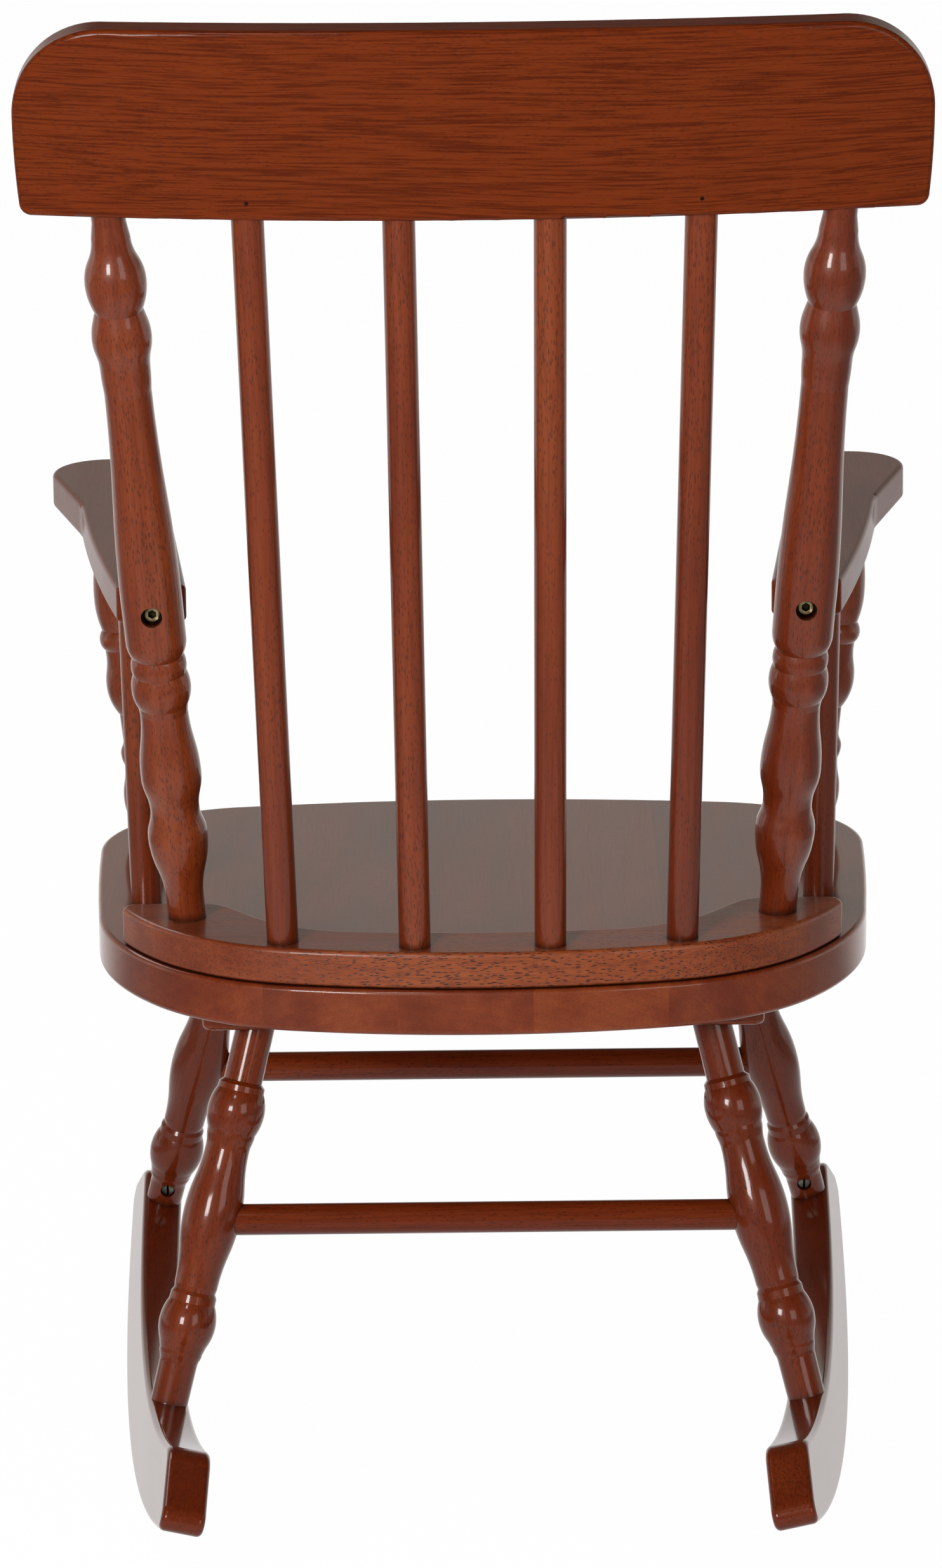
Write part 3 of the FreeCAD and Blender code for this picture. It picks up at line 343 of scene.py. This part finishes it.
def hardwood_group(settings):
    """Stained diffuse-porous hardwood as a solid pattern. The grain runs along X, in metres."""
    group = bpy.data.node_groups.new("stained_hardwood", "ShaderNodeTree")
    for name, kind in (("Vector", "Vector"), ("Tone", "Float"), ("Pores", "Float"), ("Streaks", "Float")):
        group.interface.new_socket(name, in_out="INPUT", socket_type="NodeSocket" + kind)
    for name, kind in (("Color", "Color"), ("Height", "Float"), ("Sheen", "Float")):
        group.interface.new_socket(name, in_out="OUTPUT", socket_type="NodeSocket" + kind)
    tree = Tree(group)
    start = group.nodes.new("NodeGroupInput").outputs
    end = group.nodes.new("NodeGroupOutput")

    # the growth rings wander a little, more across the grain than along it
    drift = tree.add("TexNoise", Vector=tree.scaled(start["Vector"], (3, 11, 11)), Scale=1.0, Detail=2.0)
    bent = tree.vector("MULTIPLY_ADD", drift.outputs["Color"], (0.0, 0.016, 0.016), start["Vector"])
    # a ring pattern repeats every 2 pi / 20 of its vector
    ring_scale = 2 * math.pi / (20 * settings.ring_width)
    rings = tree.add("TexWave", {"wave_type": "RINGS", "rings_direction": "X", "wave_profile": "SAW"},
                     Vector=bent, Scale=ring_scale, Distortion=0.6, Detail=2.0, Detail_Scale=1.2)
    late = tree.math("POWER", rings.outputs["Fac"], 2.2)

    # fibres: long fine streaks, over broader bands and clouds of lighter and darker stain
    fibre = tree.add("TexNoise", Vector=tree.scaled(bent, (26, 950, 950)), Scale=1.0, Detail=4.0,
                     Roughness=0.6).outputs["Fac"]
    streak = tree.add("TexNoise", Vector=tree.scaled(bent, (2.2, 60, 60)), Scale=1.0, Detail=3.0,
                      Roughness=0.55).outputs["Fac"]
    cloud = tree.add("TexNoise", Vector=tree.scaled(start["Vector"], (5, 16, 16)), Scale=1.0,
                     Detail=2.0).outputs["Fac"]

    # pores: short dashes that lie along the grain, thicker in some places than in others
    length, width = 1 / settings.pore_length, 1 / settings.pore_width
    cells = tree.add("TexVoronoi", {"feature": "F1"}, Vector=tree.scaled(bent, (length, width, width)),
                     Scale=1.0, Randomness=1.0)
    crowd = tree.ramp(cloud, 0.35, 0.7)
    reach = tree.math("MULTIPLY_ADD", crowd, 0.14, 0.20)
    past = tree.ramp(tree.math("SUBTRACT", cells.outputs["Distance"], reach), -0.03, 0.06)
    kept = tree.ramp(cells.outputs["Color"], 0.20, 0.40)
    pore = tree.times(tree.math("SUBTRACT", 1.0, past), kept)

    # stain: light in the open wood, dark in the bands, the late wood, the fibres and the pores
    body = tree.math("MULTIPLY_ADD", streak, 0.55, tree.times(cloud, 0.45))
    body = tree.math("ADD", body, start["Tone"])
    light = tree.times(tree.ramp(body, 0.38, 0.78), 0.75)
    dark = tree.times(tree.ramp(body, 0.62, 0.30), 0.4125)
    lines = tree.times(tree.ramp(fibre, 0.44, 0.62), start["Streaks"])
    colour = tree.blend(light, settings.mid_stain, settings.light_stain)
    for share in (dark, tree.times(late, 0.14), lines):
        colour = tree.blend(share, colour, settings.dark_stain)
    colour = tree.blend(tree.times(pore, start["Pores"]), colour, settings.pore_and_painted_shade_colour)
    tree.feed(end, "Color", colour)

    ripple = tree.add("TexNoise", Vector=start["Vector"], Scale=260.0, Detail=2.0)
    height = tree.math("MULTIPLY_ADD", pore, -1.0, tree.times(ripple.outputs["Fac"], 0.35))
    tree.feed(end, "Height", tree.math("MULTIPLY_ADD", fibre, 0.25, height))
    tree.feed(end, "Sheen", tree.ramp(streak, 0.2, 0.8))
    return group


def hardwood():
    """The stained hardwood pattern, made once."""
    group = bpy.data.node_groups.get("stained_hardwood")
    return group or hardwood_group(bpy.context.scene.chair_wood)


def along_bend(tree, where, bend):
    """Straightens a bent board's coordinates, so that its grain follows the curve."""
    reach = tree.split(where)["X"]
    sag = tree.times(tree.times(reach, reach), 0.5 / bend)
    shift = tree.add("CombineXYZ", Y=tree.times(sag, CREST_BEND_FORWARDS),
                     Z=tree.times(sag, -CREST_BEND_UP))
    return tree.vector("ADD", where, shift.outputs[0])


def wood_material(name, settings, grain, pith, look, boards=0.0, bend=0.0):
    """Wood whose grain runs one way, with the heart of the tree at a point beside the piece."""
    material = new_material(name)
    tree = Tree(material.node_tree)
    where = place = tree.add("TexCoord").outputs["Object"]
    if bend:
        where = along_bend(tree, where, bend)
    turn = Vector(ALONG_X).rotation_difference(Vector(grain)).to_euler()
    vector = tree.add("Mapping", {"vector_type": "TEXTURE"}, Vector=where, Location=pith,
                      Rotation=turn).outputs[0]
    tone = look["tone"]
    if boards:
        # a seat is glued up from boards, each with its own shade and its own part of the tree
        number = tree.math("FLOOR", tree.math("MULTIPLY_ADD", tree.split(place)["X"], 1 / boards, 20.37))
        shade = tree.add("TexWhiteNoise", {"noise_dimensions": "1D"}, W=number).outputs["Value"]
        shift = tree.add("CombineXYZ", X=tree.times(number, 0.731), Z=tree.times(shade, 0.09))
        vector = tree.vector("ADD", vector, shift.outputs[0])
        tone = tree.math("MULTIPLY_ADD", shade, 0.14, tone - 0.07)
    wood = material.node_tree.nodes.new("ShaderNodeGroup")
    wood.node_tree = hardwood()
    fed = {"Vector": vector, "Tone": tone, "Pores": look["pores"], "Streaks": look["streaks"]}
    for key, value in fed.items():
        tree.feed(wood, key, value)
    # painted shade: ambient occlusion darkens the colour towards the pores' colour in the turned grooves
    # and in the corners where pieces meet
    crease_occlusion = tree.add("AmbientOcclusion", {"samples": 8}, Distance=0.007)
    painted_crease_shade = tree.times(tree.ramp(crease_occlusion.outputs["AO"], 0.85, 0.40), 0.75)
    relief = tree.add("Bump", Strength=0.32, Distance=0.00025, Height=wood.outputs["Height"])
    surface = tree.add(
        "BsdfPrincipled",
        Base_Color=tree.blend(painted_crease_shade, wood.outputs["Color"], settings.pore_and_painted_shade_colour),
        Roughness=tree.math("MULTIPLY_ADD", wood.outputs["Sheen"], 0.10, settings.roughness - 0.05),
        Normal=relief.outputs[0],
        Specular_IOR_Level=look["shine"],
        Coat_Weight=settings.lacquer * look["lacquer"],
        Coat_Roughness=settings.lacquer_roughness,
        Coat_IOR=COAT_IOR,
        Coat_Tint=settings.lacquer_tint)
    tree.end("OutputMaterial", surface.outputs[0])
    return material


def plated_material(name, colour, roughness):
    """Zinc-plated steel with the faint bloom and scratches of handled hardware, with painted shade that
    darkens its sockets and slots.
    """
    material = new_material(name)
    tree = Tree(material.node_tree)
    place = tree.add("TexCoord").outputs["Object"]
    bloom = tree.add("TexNoise", Vector=place, Scale=420.0, Detail=3.0).outputs["Fac"]
    scratch = tree.add("TexNoise", Vector=tree.scaled(place, (3000, 700, 3000)), Scale=1.0, Detail=2.0)
    dull = [part * 0.55 for part in colour]
    # painted shade: ambient occlusion darkens the colour in the sockets, slots and recesses
    socket_occlusion = tree.add("AmbientOcclusion", {"samples": 8}, Distance=0.003).outputs["AO"]
    shade = tree.blend(tree.ramp(bloom, 0.4, 0.7), colour, dull)
    relief = tree.add("Bump", Strength=0.25, Distance=0.0001, Height=scratch.outputs["Fac"])
    surface = tree.add(
        "BsdfPrincipled",
        Base_Color=tree.blend(tree.ramp(socket_occlusion, 0.95, 0.5), shade, PAINTED_SOCKET_SHADE),
        Roughness=tree.math("MULTIPLY_ADD", bloom, 0.25, roughness - 0.12),
        Normal=relief.outputs[0],
        Metallic=1.0)
    tree.end("OutputMaterial", surface.outputs[0])
    return material


def dress(piece, material):
    piece.data.materials.clear()
    piece.data.materials.append(material)


def solids_of(node):
    """The vertices of each separate solid of a CAD node."""
    mesh = bmesh.new()
    mesh.from_mesh(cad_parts[node].data)
    bmesh.ops.remove_doubles(mesh, verts=mesh.verts, dist=SAME_POINT)
    left, found = set(mesh.verts), []
    while left:
        # the vertices that this one is joined to, edge by edge, are one solid
        heap, solid = [left.pop()], []
        while heap:
            vertex = heap.pop()
            solid.append(vertex.co.copy())
            for edge in vertex.link_edges:
                other = edge.other_vert(vertex)
                if other in left:
                    left.remove(other)
                    heap.append(other)
        found.append(solid)
    mesh.free()
    return found


def line_through(points):
    """The long axis of a round solid: its two end centres."""
    centre = sum(points, Vector()) / len(points)
    far = max(points, key=lambda point: (point - centre).length)
    axis = (far - centre).normalized()
    for _ in range(30):
        total = Vector()
        for point in points:
            offset = point - centre
            total += offset * offset.dot(axis)
        axis = total.normalized()
    reach = [(point - centre).dot(axis) for point in points]
    ends = []
    for end in (min(reach), max(reach)):
        rim = [point for point, at in zip(points, reach) if abs(at - end) < RIM_DEPTH]
        ends.append(sum(rim, Vector()) / len(rim))
    return ends


# ---------------------------------------------------------------- modelling by hand

def deselect():
    if bpy.context.object and bpy.context.object.mode != "OBJECT":
        bpy.ops.object.mode_set(mode="OBJECT")
    bpy.ops.object.select_all(action="DESELECT")


def start_rod(name, radius, height, sides=40):
    """A rod that stands on the origin, left in edit mode with nothing selected."""
    deselect()
    bpy.ops.mesh.primitive_cylinder_add(vertices=sides, radius=radius, depth=height,
                                        location=(0, 0, height / 2))
    rod = bpy.context.object
    rod.name = name
    bpy.ops.object.transform_apply(location=True, rotation=True, scale=True)
    bpy.ops.object.mode_set(mode="EDIT")
    bpy.ops.mesh.select_mode(type="FACE")
    bpy.ops.mesh.select_all(action="DESELECT")
    return rod


def choose(kind, test):
    """In edit mode, selects the faces or edges that pass a test, and nothing else."""
    bpy.ops.mesh.select_mode(type=kind)
    bpy.ops.mesh.select_all(action="DESELECT")
    mesh = bmesh.from_edit_mesh(bpy.context.object.data)
    chosen = 0
    for part in (mesh.faces if kind == "FACE" else mesh.edges):
        if test(part):
            part.select_set(True)
            chosen += 1
    if not chosen:
        raise RuntimeError(f"{bpy.context.object.name}: nothing to shape")
    mesh.select_flush_mode()
    bmesh.update_edit_mesh(bpy.context.object.data)


def cap_at(height):
    def test(face):
        return abs(face.normal.z) > 0.9 and abs(face.calc_center_median().z - height) < SAME_HEIGHT
    return test


def rim_at(height, radius):
    def test(edge):
        return all(abs(vertex.co.z - height) < SAME_HEIGHT
                   and abs(vertex.co.xy.length - radius) < SAME_WIDTH for vertex in edge.verts)
    return test


def draw_in(amount):
    bpy.ops.mesh.inset(thickness=amount)


def pull(distance):
    bpy.ops.mesh.extrude_region_move(TRANSFORM_OT_translate={"value": (0, 0, distance)})


def widen(factor):
    bpy.ops.transform.resize(value=(factor, factor, 1), center_override=(0, 0, 0))


def round_off(width):
    bpy.ops.mesh.bevel(offset=width, segments=3, profile=0.5, affect="EDGES")


def carve(piece, cutter):
    """Takes the cutter's shape out of the piece, and removes the cutter."""
    deselect()
    bpy.context.view_layer.objects.active = piece
    piece.select_set(True)
    knife = piece.modifiers.new("recess", "BOOLEAN")
    knife.operation = "DIFFERENCE"
    knife.solver = "EXACT"
    knife.object = cutter
    bpy.ops.object.modifier_apply(modifier=knife.name)
    bpy.data.objects.remove(cutter, do_unlink=True)


def smooth_off(piece):
    """Merges doubles, points the faces outwards and shades the round parts smooth."""
    deselect()
    bpy.context.view_layer.objects.active = piece
    piece.select_set(True)
    bpy.ops.object.mode_set(mode="EDIT")
    bpy.ops.mesh.select_all(action="SELECT")
    bpy.ops.mesh.remove_doubles(threshold=SAME_POINT)
    bpy.ops.mesh.normals_make_consistent(inside=False)
    bpy.ops.object.mode_set(mode="OBJECT")
    bpy.ops.object.shade_smooth_by_angle(angle=SMOOTH_ANGLE)


def lay_along(piece, name, foot, tip):
    """A copy of a piece that stands on the origin, with its own mesh, laid from foot to tip."""
    copy = piece.copy()
    copy.data = piece.data.copy()
    copy.name = copy.data.name = name
    bpy.context.scene.collection.objects.link(copy)
    turn = Vector((0, 0, 1)).rotation_difference(tip - foot).to_matrix().to_4x4()
    deselect()
    bpy.context.view_layer.objects.active = copy
    copy.select_set(True)
    copy.matrix_world = Matrix.Translation(foot) @ turn
    bpy.ops.object.transform_apply(location=True, rotation=True, scale=True)
    return copy


def fit_out(pattern, node, material):
    """Puts a copy of the pattern in the place of each solid of a CAD node, head to head."""
    for number, solid in enumerate(solids_of(node), 1):
        foot, tip = head_first(solid)
        piece = lay_along(pattern, f"{node.rstrip('s')}_{number}", foot, tip)
        dress(piece, material)
        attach(piece, "root")
        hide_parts(node)
    bpy.data.objects.remove(pattern, do_unlink=True)


def head_first(solid):
    """A fastener's two ends, the one with the wider head first."""
    ends = line_through(solid)
    axis = (ends[1] - ends[0]).normalized()
    widths = []
    for end in ends:
        near = [point for point in solid if abs((point - end).dot(axis)) < HEAD_DEPTH]
        widths.append(max((point - end - axis * (point - end).dot(axis)).length for point in near))
    return ends if widths[0] >= widths[1] - SAME_WIDTH else ends[::-1]


# ---------------------------------------------------------------- operators

def middle_of(node):
    low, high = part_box(node)
    return (Vector(low) + Vector(high)) / 2


class CHAIR_OT_turned_pieces(Operator):
    """Stain and lacquer the posts, spindles and legs"""
    bl_idname = "chair.turned_pieces"
    bl_label = "Finish turned pieces"

    def execute(self, context):
        settings = context.scene.chair_wood
        for number, node in enumerate(UPRIGHTS, 1):
            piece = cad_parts[node]
            foot, tip = line_through([vertex.co.copy() for vertex in piece.data.vertices])
            axis = (tip - foot).normalized()
            if axis.z < 0:
                axis = -axis
            around = Matrix.Rotation(TURNED_HEART_ANGLE * number, 3, axis)
            side = around @ axis.orthogonal().normalized()
            heart = side * TURNED_HEARTS[number % len(TURNED_HEARTS)] - axis * (TURNED_SPACING * number)
            pith = (foot + tip) / 2 + heart
            look = dict(LEG_LOOK if "leg" in node else POST_LOOK)
            look["tone"] += TURNED_TONES[number % len(TURNED_TONES)]
            dress(piece, wood_material(f"turned_wood_{node}", settings, axis, pith, look))
        return {"FINISHED"}


class CHAIR_OT_boards(Operator):
    """Stain and lacquer the crest, yoke, arms, battens, stretchers and rockers"""
    bl_idname = "chair.boards"
    bl_label = "Finish boards"

    def execute(self, context):
        settings = context.scene.chair_wood
        for number, (node, (grain, look)) in enumerate(BOARDS.items(), 1):
            grain = Vector(grain)
            heart = Vector(BOARD_HEARTS[number % len(BOARD_HEARTS)])
            heart -= grain * heart.dot(grain)
            pith = middle_of(node) + heart - grain * (BOARD_SPACING * number)
            bend = CREST_BEND if node == "crest_rail" else 0.0
            material = wood_material(f"board_wood_{node}", settings, grain, pith, look, bend=bend)
            dress(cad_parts[node], material)
        return {"FINISHED"}


class CHAIR_OT_seat(Operator):
    """Stain and lacquer the seat, which is glued up from boards"""
    bl_idname = "chair.seat"
    bl_label = "Finish seat"

    def execute(self, context):
        settings = context.scene.chair_wood
        pith = middle_of("seat") + Vector(SEAT_HEART)
        material = wood_material("glued_seat_boards", settings, ALONG_Y, pith, SEAT_LOOK,
                                 boards=settings.board_width)
        dress(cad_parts["seat"], material)
        return {"FINISHED"}


def metal(slot):
    """The plating of a slot, made once."""
    settings = bpy.context.scene.chair_metal
    name, colour, roughness = {
        "zinc_steel": ("yellow_zinc", settings.zinc, ZINC_ROUGHNESS),
        "nut_steel": ("grey_zinc", settings.nut_steel, NUT_ROUGHNESS),
    }[slot]
    return bpy.data.materials.get(name) or plated_material(name, colour, roughness)


def length_of(node):
    """The length of one of a node's fasteners, which are all alike."""
    foot, tip = line_through(solids_of(node)[0])
    return (tip - foot).length


def hexagon(across_flats, depth):
    """A cutter that reaches as deep into a head as it stands out of it."""
    deselect()
    radius = across_flats / 2 / math.cos(math.pi / 6)
    bpy.ops.mesh.primitive_cylinder_add(vertices=6, radius=radius, depth=depth * 2)
    return bpy.context.object


def blade(width, length, depth):
    """A cutter for a driver slot."""
    deselect()
    bpy.ops.mesh.primitive_cube_add(size=1, scale=(width, length, depth * 2))
    bpy.ops.object.transform_apply(location=True, rotation=True, scale=True)
    return bpy.context.object


def socket_bolt(settings, length):
    """A socket-head bolt, with its head's outer face on the floor and its shank upwards."""
    head, height, shank = settings.bolt_head / 2, settings.bolt_head_height, settings.bolt_shank / 2
    bolt = start_rod("bolt_pattern", head, height)
    choose("FACE", cap_at(height))
    draw_in(head - shank)
    pull(length - height - EDGE_ROUND)
    pull(EDGE_ROUND)
    widen(POINT_SHARE)
    choose("EDGE", rim_at(0, head))
    round_off(EDGE_ROUND)
    bpy.ops.object.mode_set(mode="OBJECT")
    carve(bolt, hexagon(settings.key_size, KEY_DEPTH))
    smooth_off(bolt)
    return bolt


class CHAIR_OT_arm_bolts(Operator):
    """Model the socket-head bolts that hold the arms to the back posts"""
    bl_idname = "chair.arm_bolts"
    bl_label = "Model arm bolts"

    def execute(self, context):
        bolt = socket_bolt(context.scene.chair_metal, length_of("arm_bolts"))
        fit_out(bolt, "arm_bolts", metal("zinc_steel"))
        return {"FINISHED"}


class CHAIR_OT_rocker_bolts(Operator):
    """Model the socket-head bolts that hold the legs to the rockers"""
    bl_idname = "chair.rocker_bolts"
    bl_label = "Model rocker bolts"

    def execute(self, context):
        bolt = socket_bolt(context.scene.chair_metal, length_of("rocker_bolts"))
        fit_out(bolt, "rocker_bolts", metal("zinc_steel"))
        return {"FINISHED"}


class CHAIR_OT_barrel_nuts(Operator):
    """Model the slotted barrel nuts in the legs"""
    bl_idname = "chair.barrel_nuts"
    bl_label = "Model barrel nuts"

    def execute(self, context):
        settings = context.scene.chair_metal
        radius, length = settings.nut_diameter / 2, length_of("barrel_nuts")
        nut = start_rod("nut_pattern", radius, length)
        for height in (0, length):
            choose("EDGE", rim_at(height, radius))
            round_off(NUT_ROUND)
        bpy.ops.object.mode_set(mode="OBJECT")
        carve(nut, blade(settings.slot_width, radius * 3, NUT_SLOT_DEPTH))
        smooth_off(nut)
        fit_out(nut, "barrel_nuts", metal("nut_steel"))
        return {"FINISHED"}


def wood_screw(settings, length):
    """A countersunk screw with a cross recess, its head's face on the floor and its point upwards."""
    head, height, shank = settings.screw_head / 2, settings.screw_head_height, settings.screw_shank / 2
    screw = start_rod("screw_pattern", head, height)
    choose("FACE", cap_at(height))
    widen(shank / head)
    pull(length - height - SCREW_POINT)
    pull(SCREW_POINT)
    widen(SCREW_POINT_SHARE)
    bpy.ops.object.mode_set(mode="OBJECT")
    for turn in (0, math.pi / 2):
        cross = blade(CROSS_WIDTH, head * CROSS_SHARE, CROSS_DEPTH)
        cross.rotation_euler.z = turn
        carve(screw, cross)
    smooth_off(screw)
    return screw


class CHAIR_OT_batten_screws(Operator):
    """Model the cross-headed screws under the seat battens"""
    bl_idname = "chair.batten_screws"
    bl_label = "Model batten screws"

    def execute(self, context):
        screw = wood_screw(context.scene.chair_metal, length_of("batten_screws"))
        fit_out(screw, "batten_screws", metal("zinc_steel"))
        return {"FINISHED"}


class CHAIR_OT_yoke_screws(Operator):
    """Model the cross-headed screws that come up through the seat into the yoke"""
    bl_idname = "chair.yoke_screws"
    bl_label = "Model yoke screws"

    def execute(self, context):
        screw = wood_screw(context.scene.chair_metal, length_of("yoke_screws"))
        fit_out(screw, "yoke_screws", metal("zinc_steel"))
        return {"FINISHED"}


class CHAIR_OT_crest_brads(Operator):
    """Model the brads that pin the outer spindles in the crest rail"""
    bl_idname = "chair.crest_brads"
    bl_label = "Model crest brads"

    def execute(self, context):
        radius, length = context.scene.chair_metal.brad_diameter / 2, length_of("crest_brads")
        brad = start_rod("brad_pattern", radius, length, 24)
        choose("FACE", cap_at(0))
        draw_in(radius * 0.55)
        pull(BRAD_DIMPLE)
        choose("FACE", cap_at(length))
        draw_in(radius * 0.4)
        bpy.ops.object.mode_set(mode="OBJECT")
        smooth_off(brad)
        stained = plated_material("stained_brad", BRAD_COLOUR, BRAD_ROUGHNESS)
        fit_out(brad, "crest_brads", stained)
        return {"FINISHED"}


class CHAIR_OT_arm_inserts(Operator):
    """Plate the threaded inserts inside the arms"""
    bl_idname = "chair.arm_inserts"
    bl_label = "Finish arm inserts"

    def execute(self, context):
        dress(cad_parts["arm_inserts"], metal("zinc_steel"))
        return {"FINISHED"}


class CHAIR_OT_stage(Operator):
    """Set the floor, the lamps, the world and the camera"""
    bl_idname = "chair.stage"
    bl_label = "Set the stage"

    def execute(self, context):
        settings = context.scene.chair_stage
        deselect()
        bpy.ops.mesh.primitive_plane_add(size=settings.floor_size, location=(0, 0, 0))
        floor = context.object
        floor.name = "floor"
        dress(floor, floor_material(settings.floor_colour))
        set_world()
        for name, (place, aim, width, height, watts) in LAMPS.items():
            soft_lamp(name, place, aim, width, height, watts * settings.lamp_power)
        lens = bpy.data.cameras.new("camera")
        lens.sensor_width = 36
        lens.lens = settings.lens
        camera = bpy.data.objects.new("camera", lens)
        context.scene.collection.objects.link(camera)
        tilt, turn = math.pi / 2 - settings.camera_pitch, math.pi + settings.camera_turn
        facing = Euler((tilt, 0, turn)).to_matrix()
        turned = facing @ Matrix.Rotation(settings.camera_roll, 3, "Z")
        place = Vector((settings.camera_side, settings.camera_distance, settings.camera_height))
        camera.matrix_world = Matrix.Translation(place) @ turned.to_4x4()
        context.scene.camera = camera
        context.scene.view_settings.view_transform = "Standard"
        return {"FINISHED"}


def floor_material(colour):
    """Pale floor, nearly white to the eye, that still holds the chair's shadow. Polished wood sees it
    dim towards the camera and out to both sides."""
    material = new_material("pale_floor")
    tree = Tree(material.node_tree)
    place = tree.split(tree.add("TexCoord").outputs["Object"])
    side = tree.ramp(tree.math("ABSOLUTE", place["X"]), 0.45, 0.8)
    side = tree.times(side, tree.ramp(place["Y"], -0.9, -0.5))
    dim = tree.math("MAXIMUM", tree.ramp(place["Y"], 0.45, 0.95), tree.times(side, 0.85))
    ray = tree.add("LightPath").outputs
    shown = tree.math("MAXIMUM", ray["Is Camera Ray"], tree.math("MULTIPLY_ADD", dim, -0.75, 1.0))
    white = tree.add("Emission", Color=WHITE, Strength=shown)
    matt = tree.add("BsdfDiffuse", Color=colour)
    # white where the eye, a polished face or glass looks straight at it
    straight = tree.math("MAXIMUM", ray["Is Camera Ray"], ray["Is Glossy Ray"])
    straight = tree.math("MAXIMUM", straight, ray["Is Transmission Ray"])
    mix = tree.add("MixShader")
    parts = (tree.times(straight, FLOOR_WHITE), matt.outputs[0], white.outputs[0])
    for socket, value in zip(mix.inputs, parts):
        tree.put(socket, value)
    tree.end("OutputMaterial", mix.outputs[0])
    return material


def set_world():
    """A studio with a white sweep low in front, dim overhead and behind the camera, so that the stain
    keeps its depth."""
    world = bpy.data.worlds.new("studio")
    world.use_nodes = True
    bpy.context.scene.world = world
    world.node_tree.nodes.clear()
    tree = Tree(world.node_tree)
    way = tree.split(tree.add("TexCoord").outputs["Generated"])
    glare = tree.math("MULTIPLY_ADD", tree.ramp(way["Z"], 0.18, 0.06), 0.5, 0.08)
    low = tree.math("MULTIPLY_ADD", tree.ramp(way["Z"], 0.38, 0.30), 0.52, glare)
    flank = tree.times(tree.ramp(tree.math("ABSOLUTE", way["X"]), 0.70, 0.90), 0.4)
    in_front = tree.math("MULTIPLY_ADD", tree.ramp(way["Y"], 0.45, 0.05), 0.78, 0.22)
    sweep = tree.times(tree.math("MAXIMUM", low, flank), in_front)
    ray = tree.add("LightPath").outputs
    mirrored = tree.math("MAXIMUM", ray["Is Glossy Ray"], ray["Is Transmission Ray"])
    soft = tree.math("MULTIPLY_ADD", tree.math("SUBTRACT", 1.0, mirrored), ROOM_LIGHT,
                     tree.times(mirrored, sweep))
    glow = tree.add("Background", Color=tree.blend(mirrored, WHITE, WARM_WHITE),
                    Strength=tree.math("MAXIMUM", ray["Is Camera Ray"], soft))
    tree.end("OutputWorld", glow.outputs[0])


def soft_lamp(name, place, aim, width, height, watts):
    """A rectangular soft box that faces a point."""
    lamp = bpy.data.lights.new(name, "AREA")
    lamp.shape = "RECTANGLE"
    lamp.size, lamp.size_y = width, height
    lamp.energy = watts
    holder = bpy.data.objects.new(name, lamp)
    bpy.context.scene.collection.objects.link(holder)
    turn = (Vector(aim) - Vector(place)).to_track_quat("-Z", "Y").to_matrix().to_4x4()
    holder.matrix_world = Matrix.Translation(Vector(place)) @ turn


class CHAIR_PT_panel(Panel):
    bl_label = "Rocking chair"
    bl_idname = "CHAIR_PT_panel"
    bl_space_type = "VIEW_3D"
    bl_region_type = "UI"
    bl_category = "Rocking chair"

    def draw(self, context):
        scene = context.scene
        for settings in (scene.chair_wood, scene.chair_metal, scene.chair_stage):
            box = self.layout.box()
            for name in settings.__annotations__:
                box.prop(settings, name)
        for operator in OPERATORS:
            self.layout.operator(operator.bl_idname)


OPERATORS = (
    CHAIR_OT_turned_pieces,
    CHAIR_OT_boards,
    CHAIR_OT_seat,
    CHAIR_OT_arm_bolts,
    CHAIR_OT_rocker_bolts,
    CHAIR_OT_barrel_nuts,
    CHAIR_OT_batten_screws,
    CHAIR_OT_yoke_screws,
    CHAIR_OT_crest_brads,
    CHAIR_OT_arm_inserts,
    CHAIR_OT_stage,
)
CLASSES = (WoodSettings, MetalSettings, StageSettings, *OPERATORS, CHAIR_PT_panel)


def register():
    for kind in CLASSES:
        bpy.utils.register_class(kind)
    bpy.types.Scene.chair_wood = PointerProperty(type=WoodSettings)
    bpy.types.Scene.chair_metal = PointerProperty(type=MetalSettings)
    bpy.types.Scene.chair_stage = PointerProperty(type=StageSettings)


def unregister():
    del bpy.types.Scene.chair_stage
    del bpy.types.Scene.chair_metal
    del bpy.types.Scene.chair_wood
    for kind in reversed(CLASSES):
        bpy.utils.unregister_class(kind)


def main():
    register()
    bpy.ops.chair.turned_pieces()
    bpy.ops.chair.boards()
    bpy.ops.chair.seat()
    bpy.ops.chair.arm_bolts()
    bpy.ops.chair.rocker_bolts()
    bpy.ops.chair.barrel_nuts()
    bpy.ops.chair.batten_screws()
    bpy.ops.chair.yoke_screws()
    bpy.ops.chair.crest_brads()
    bpy.ops.chair.arm_inserts()
    bpy.ops.chair.stage()


if __name__ == "__main__":
    main()
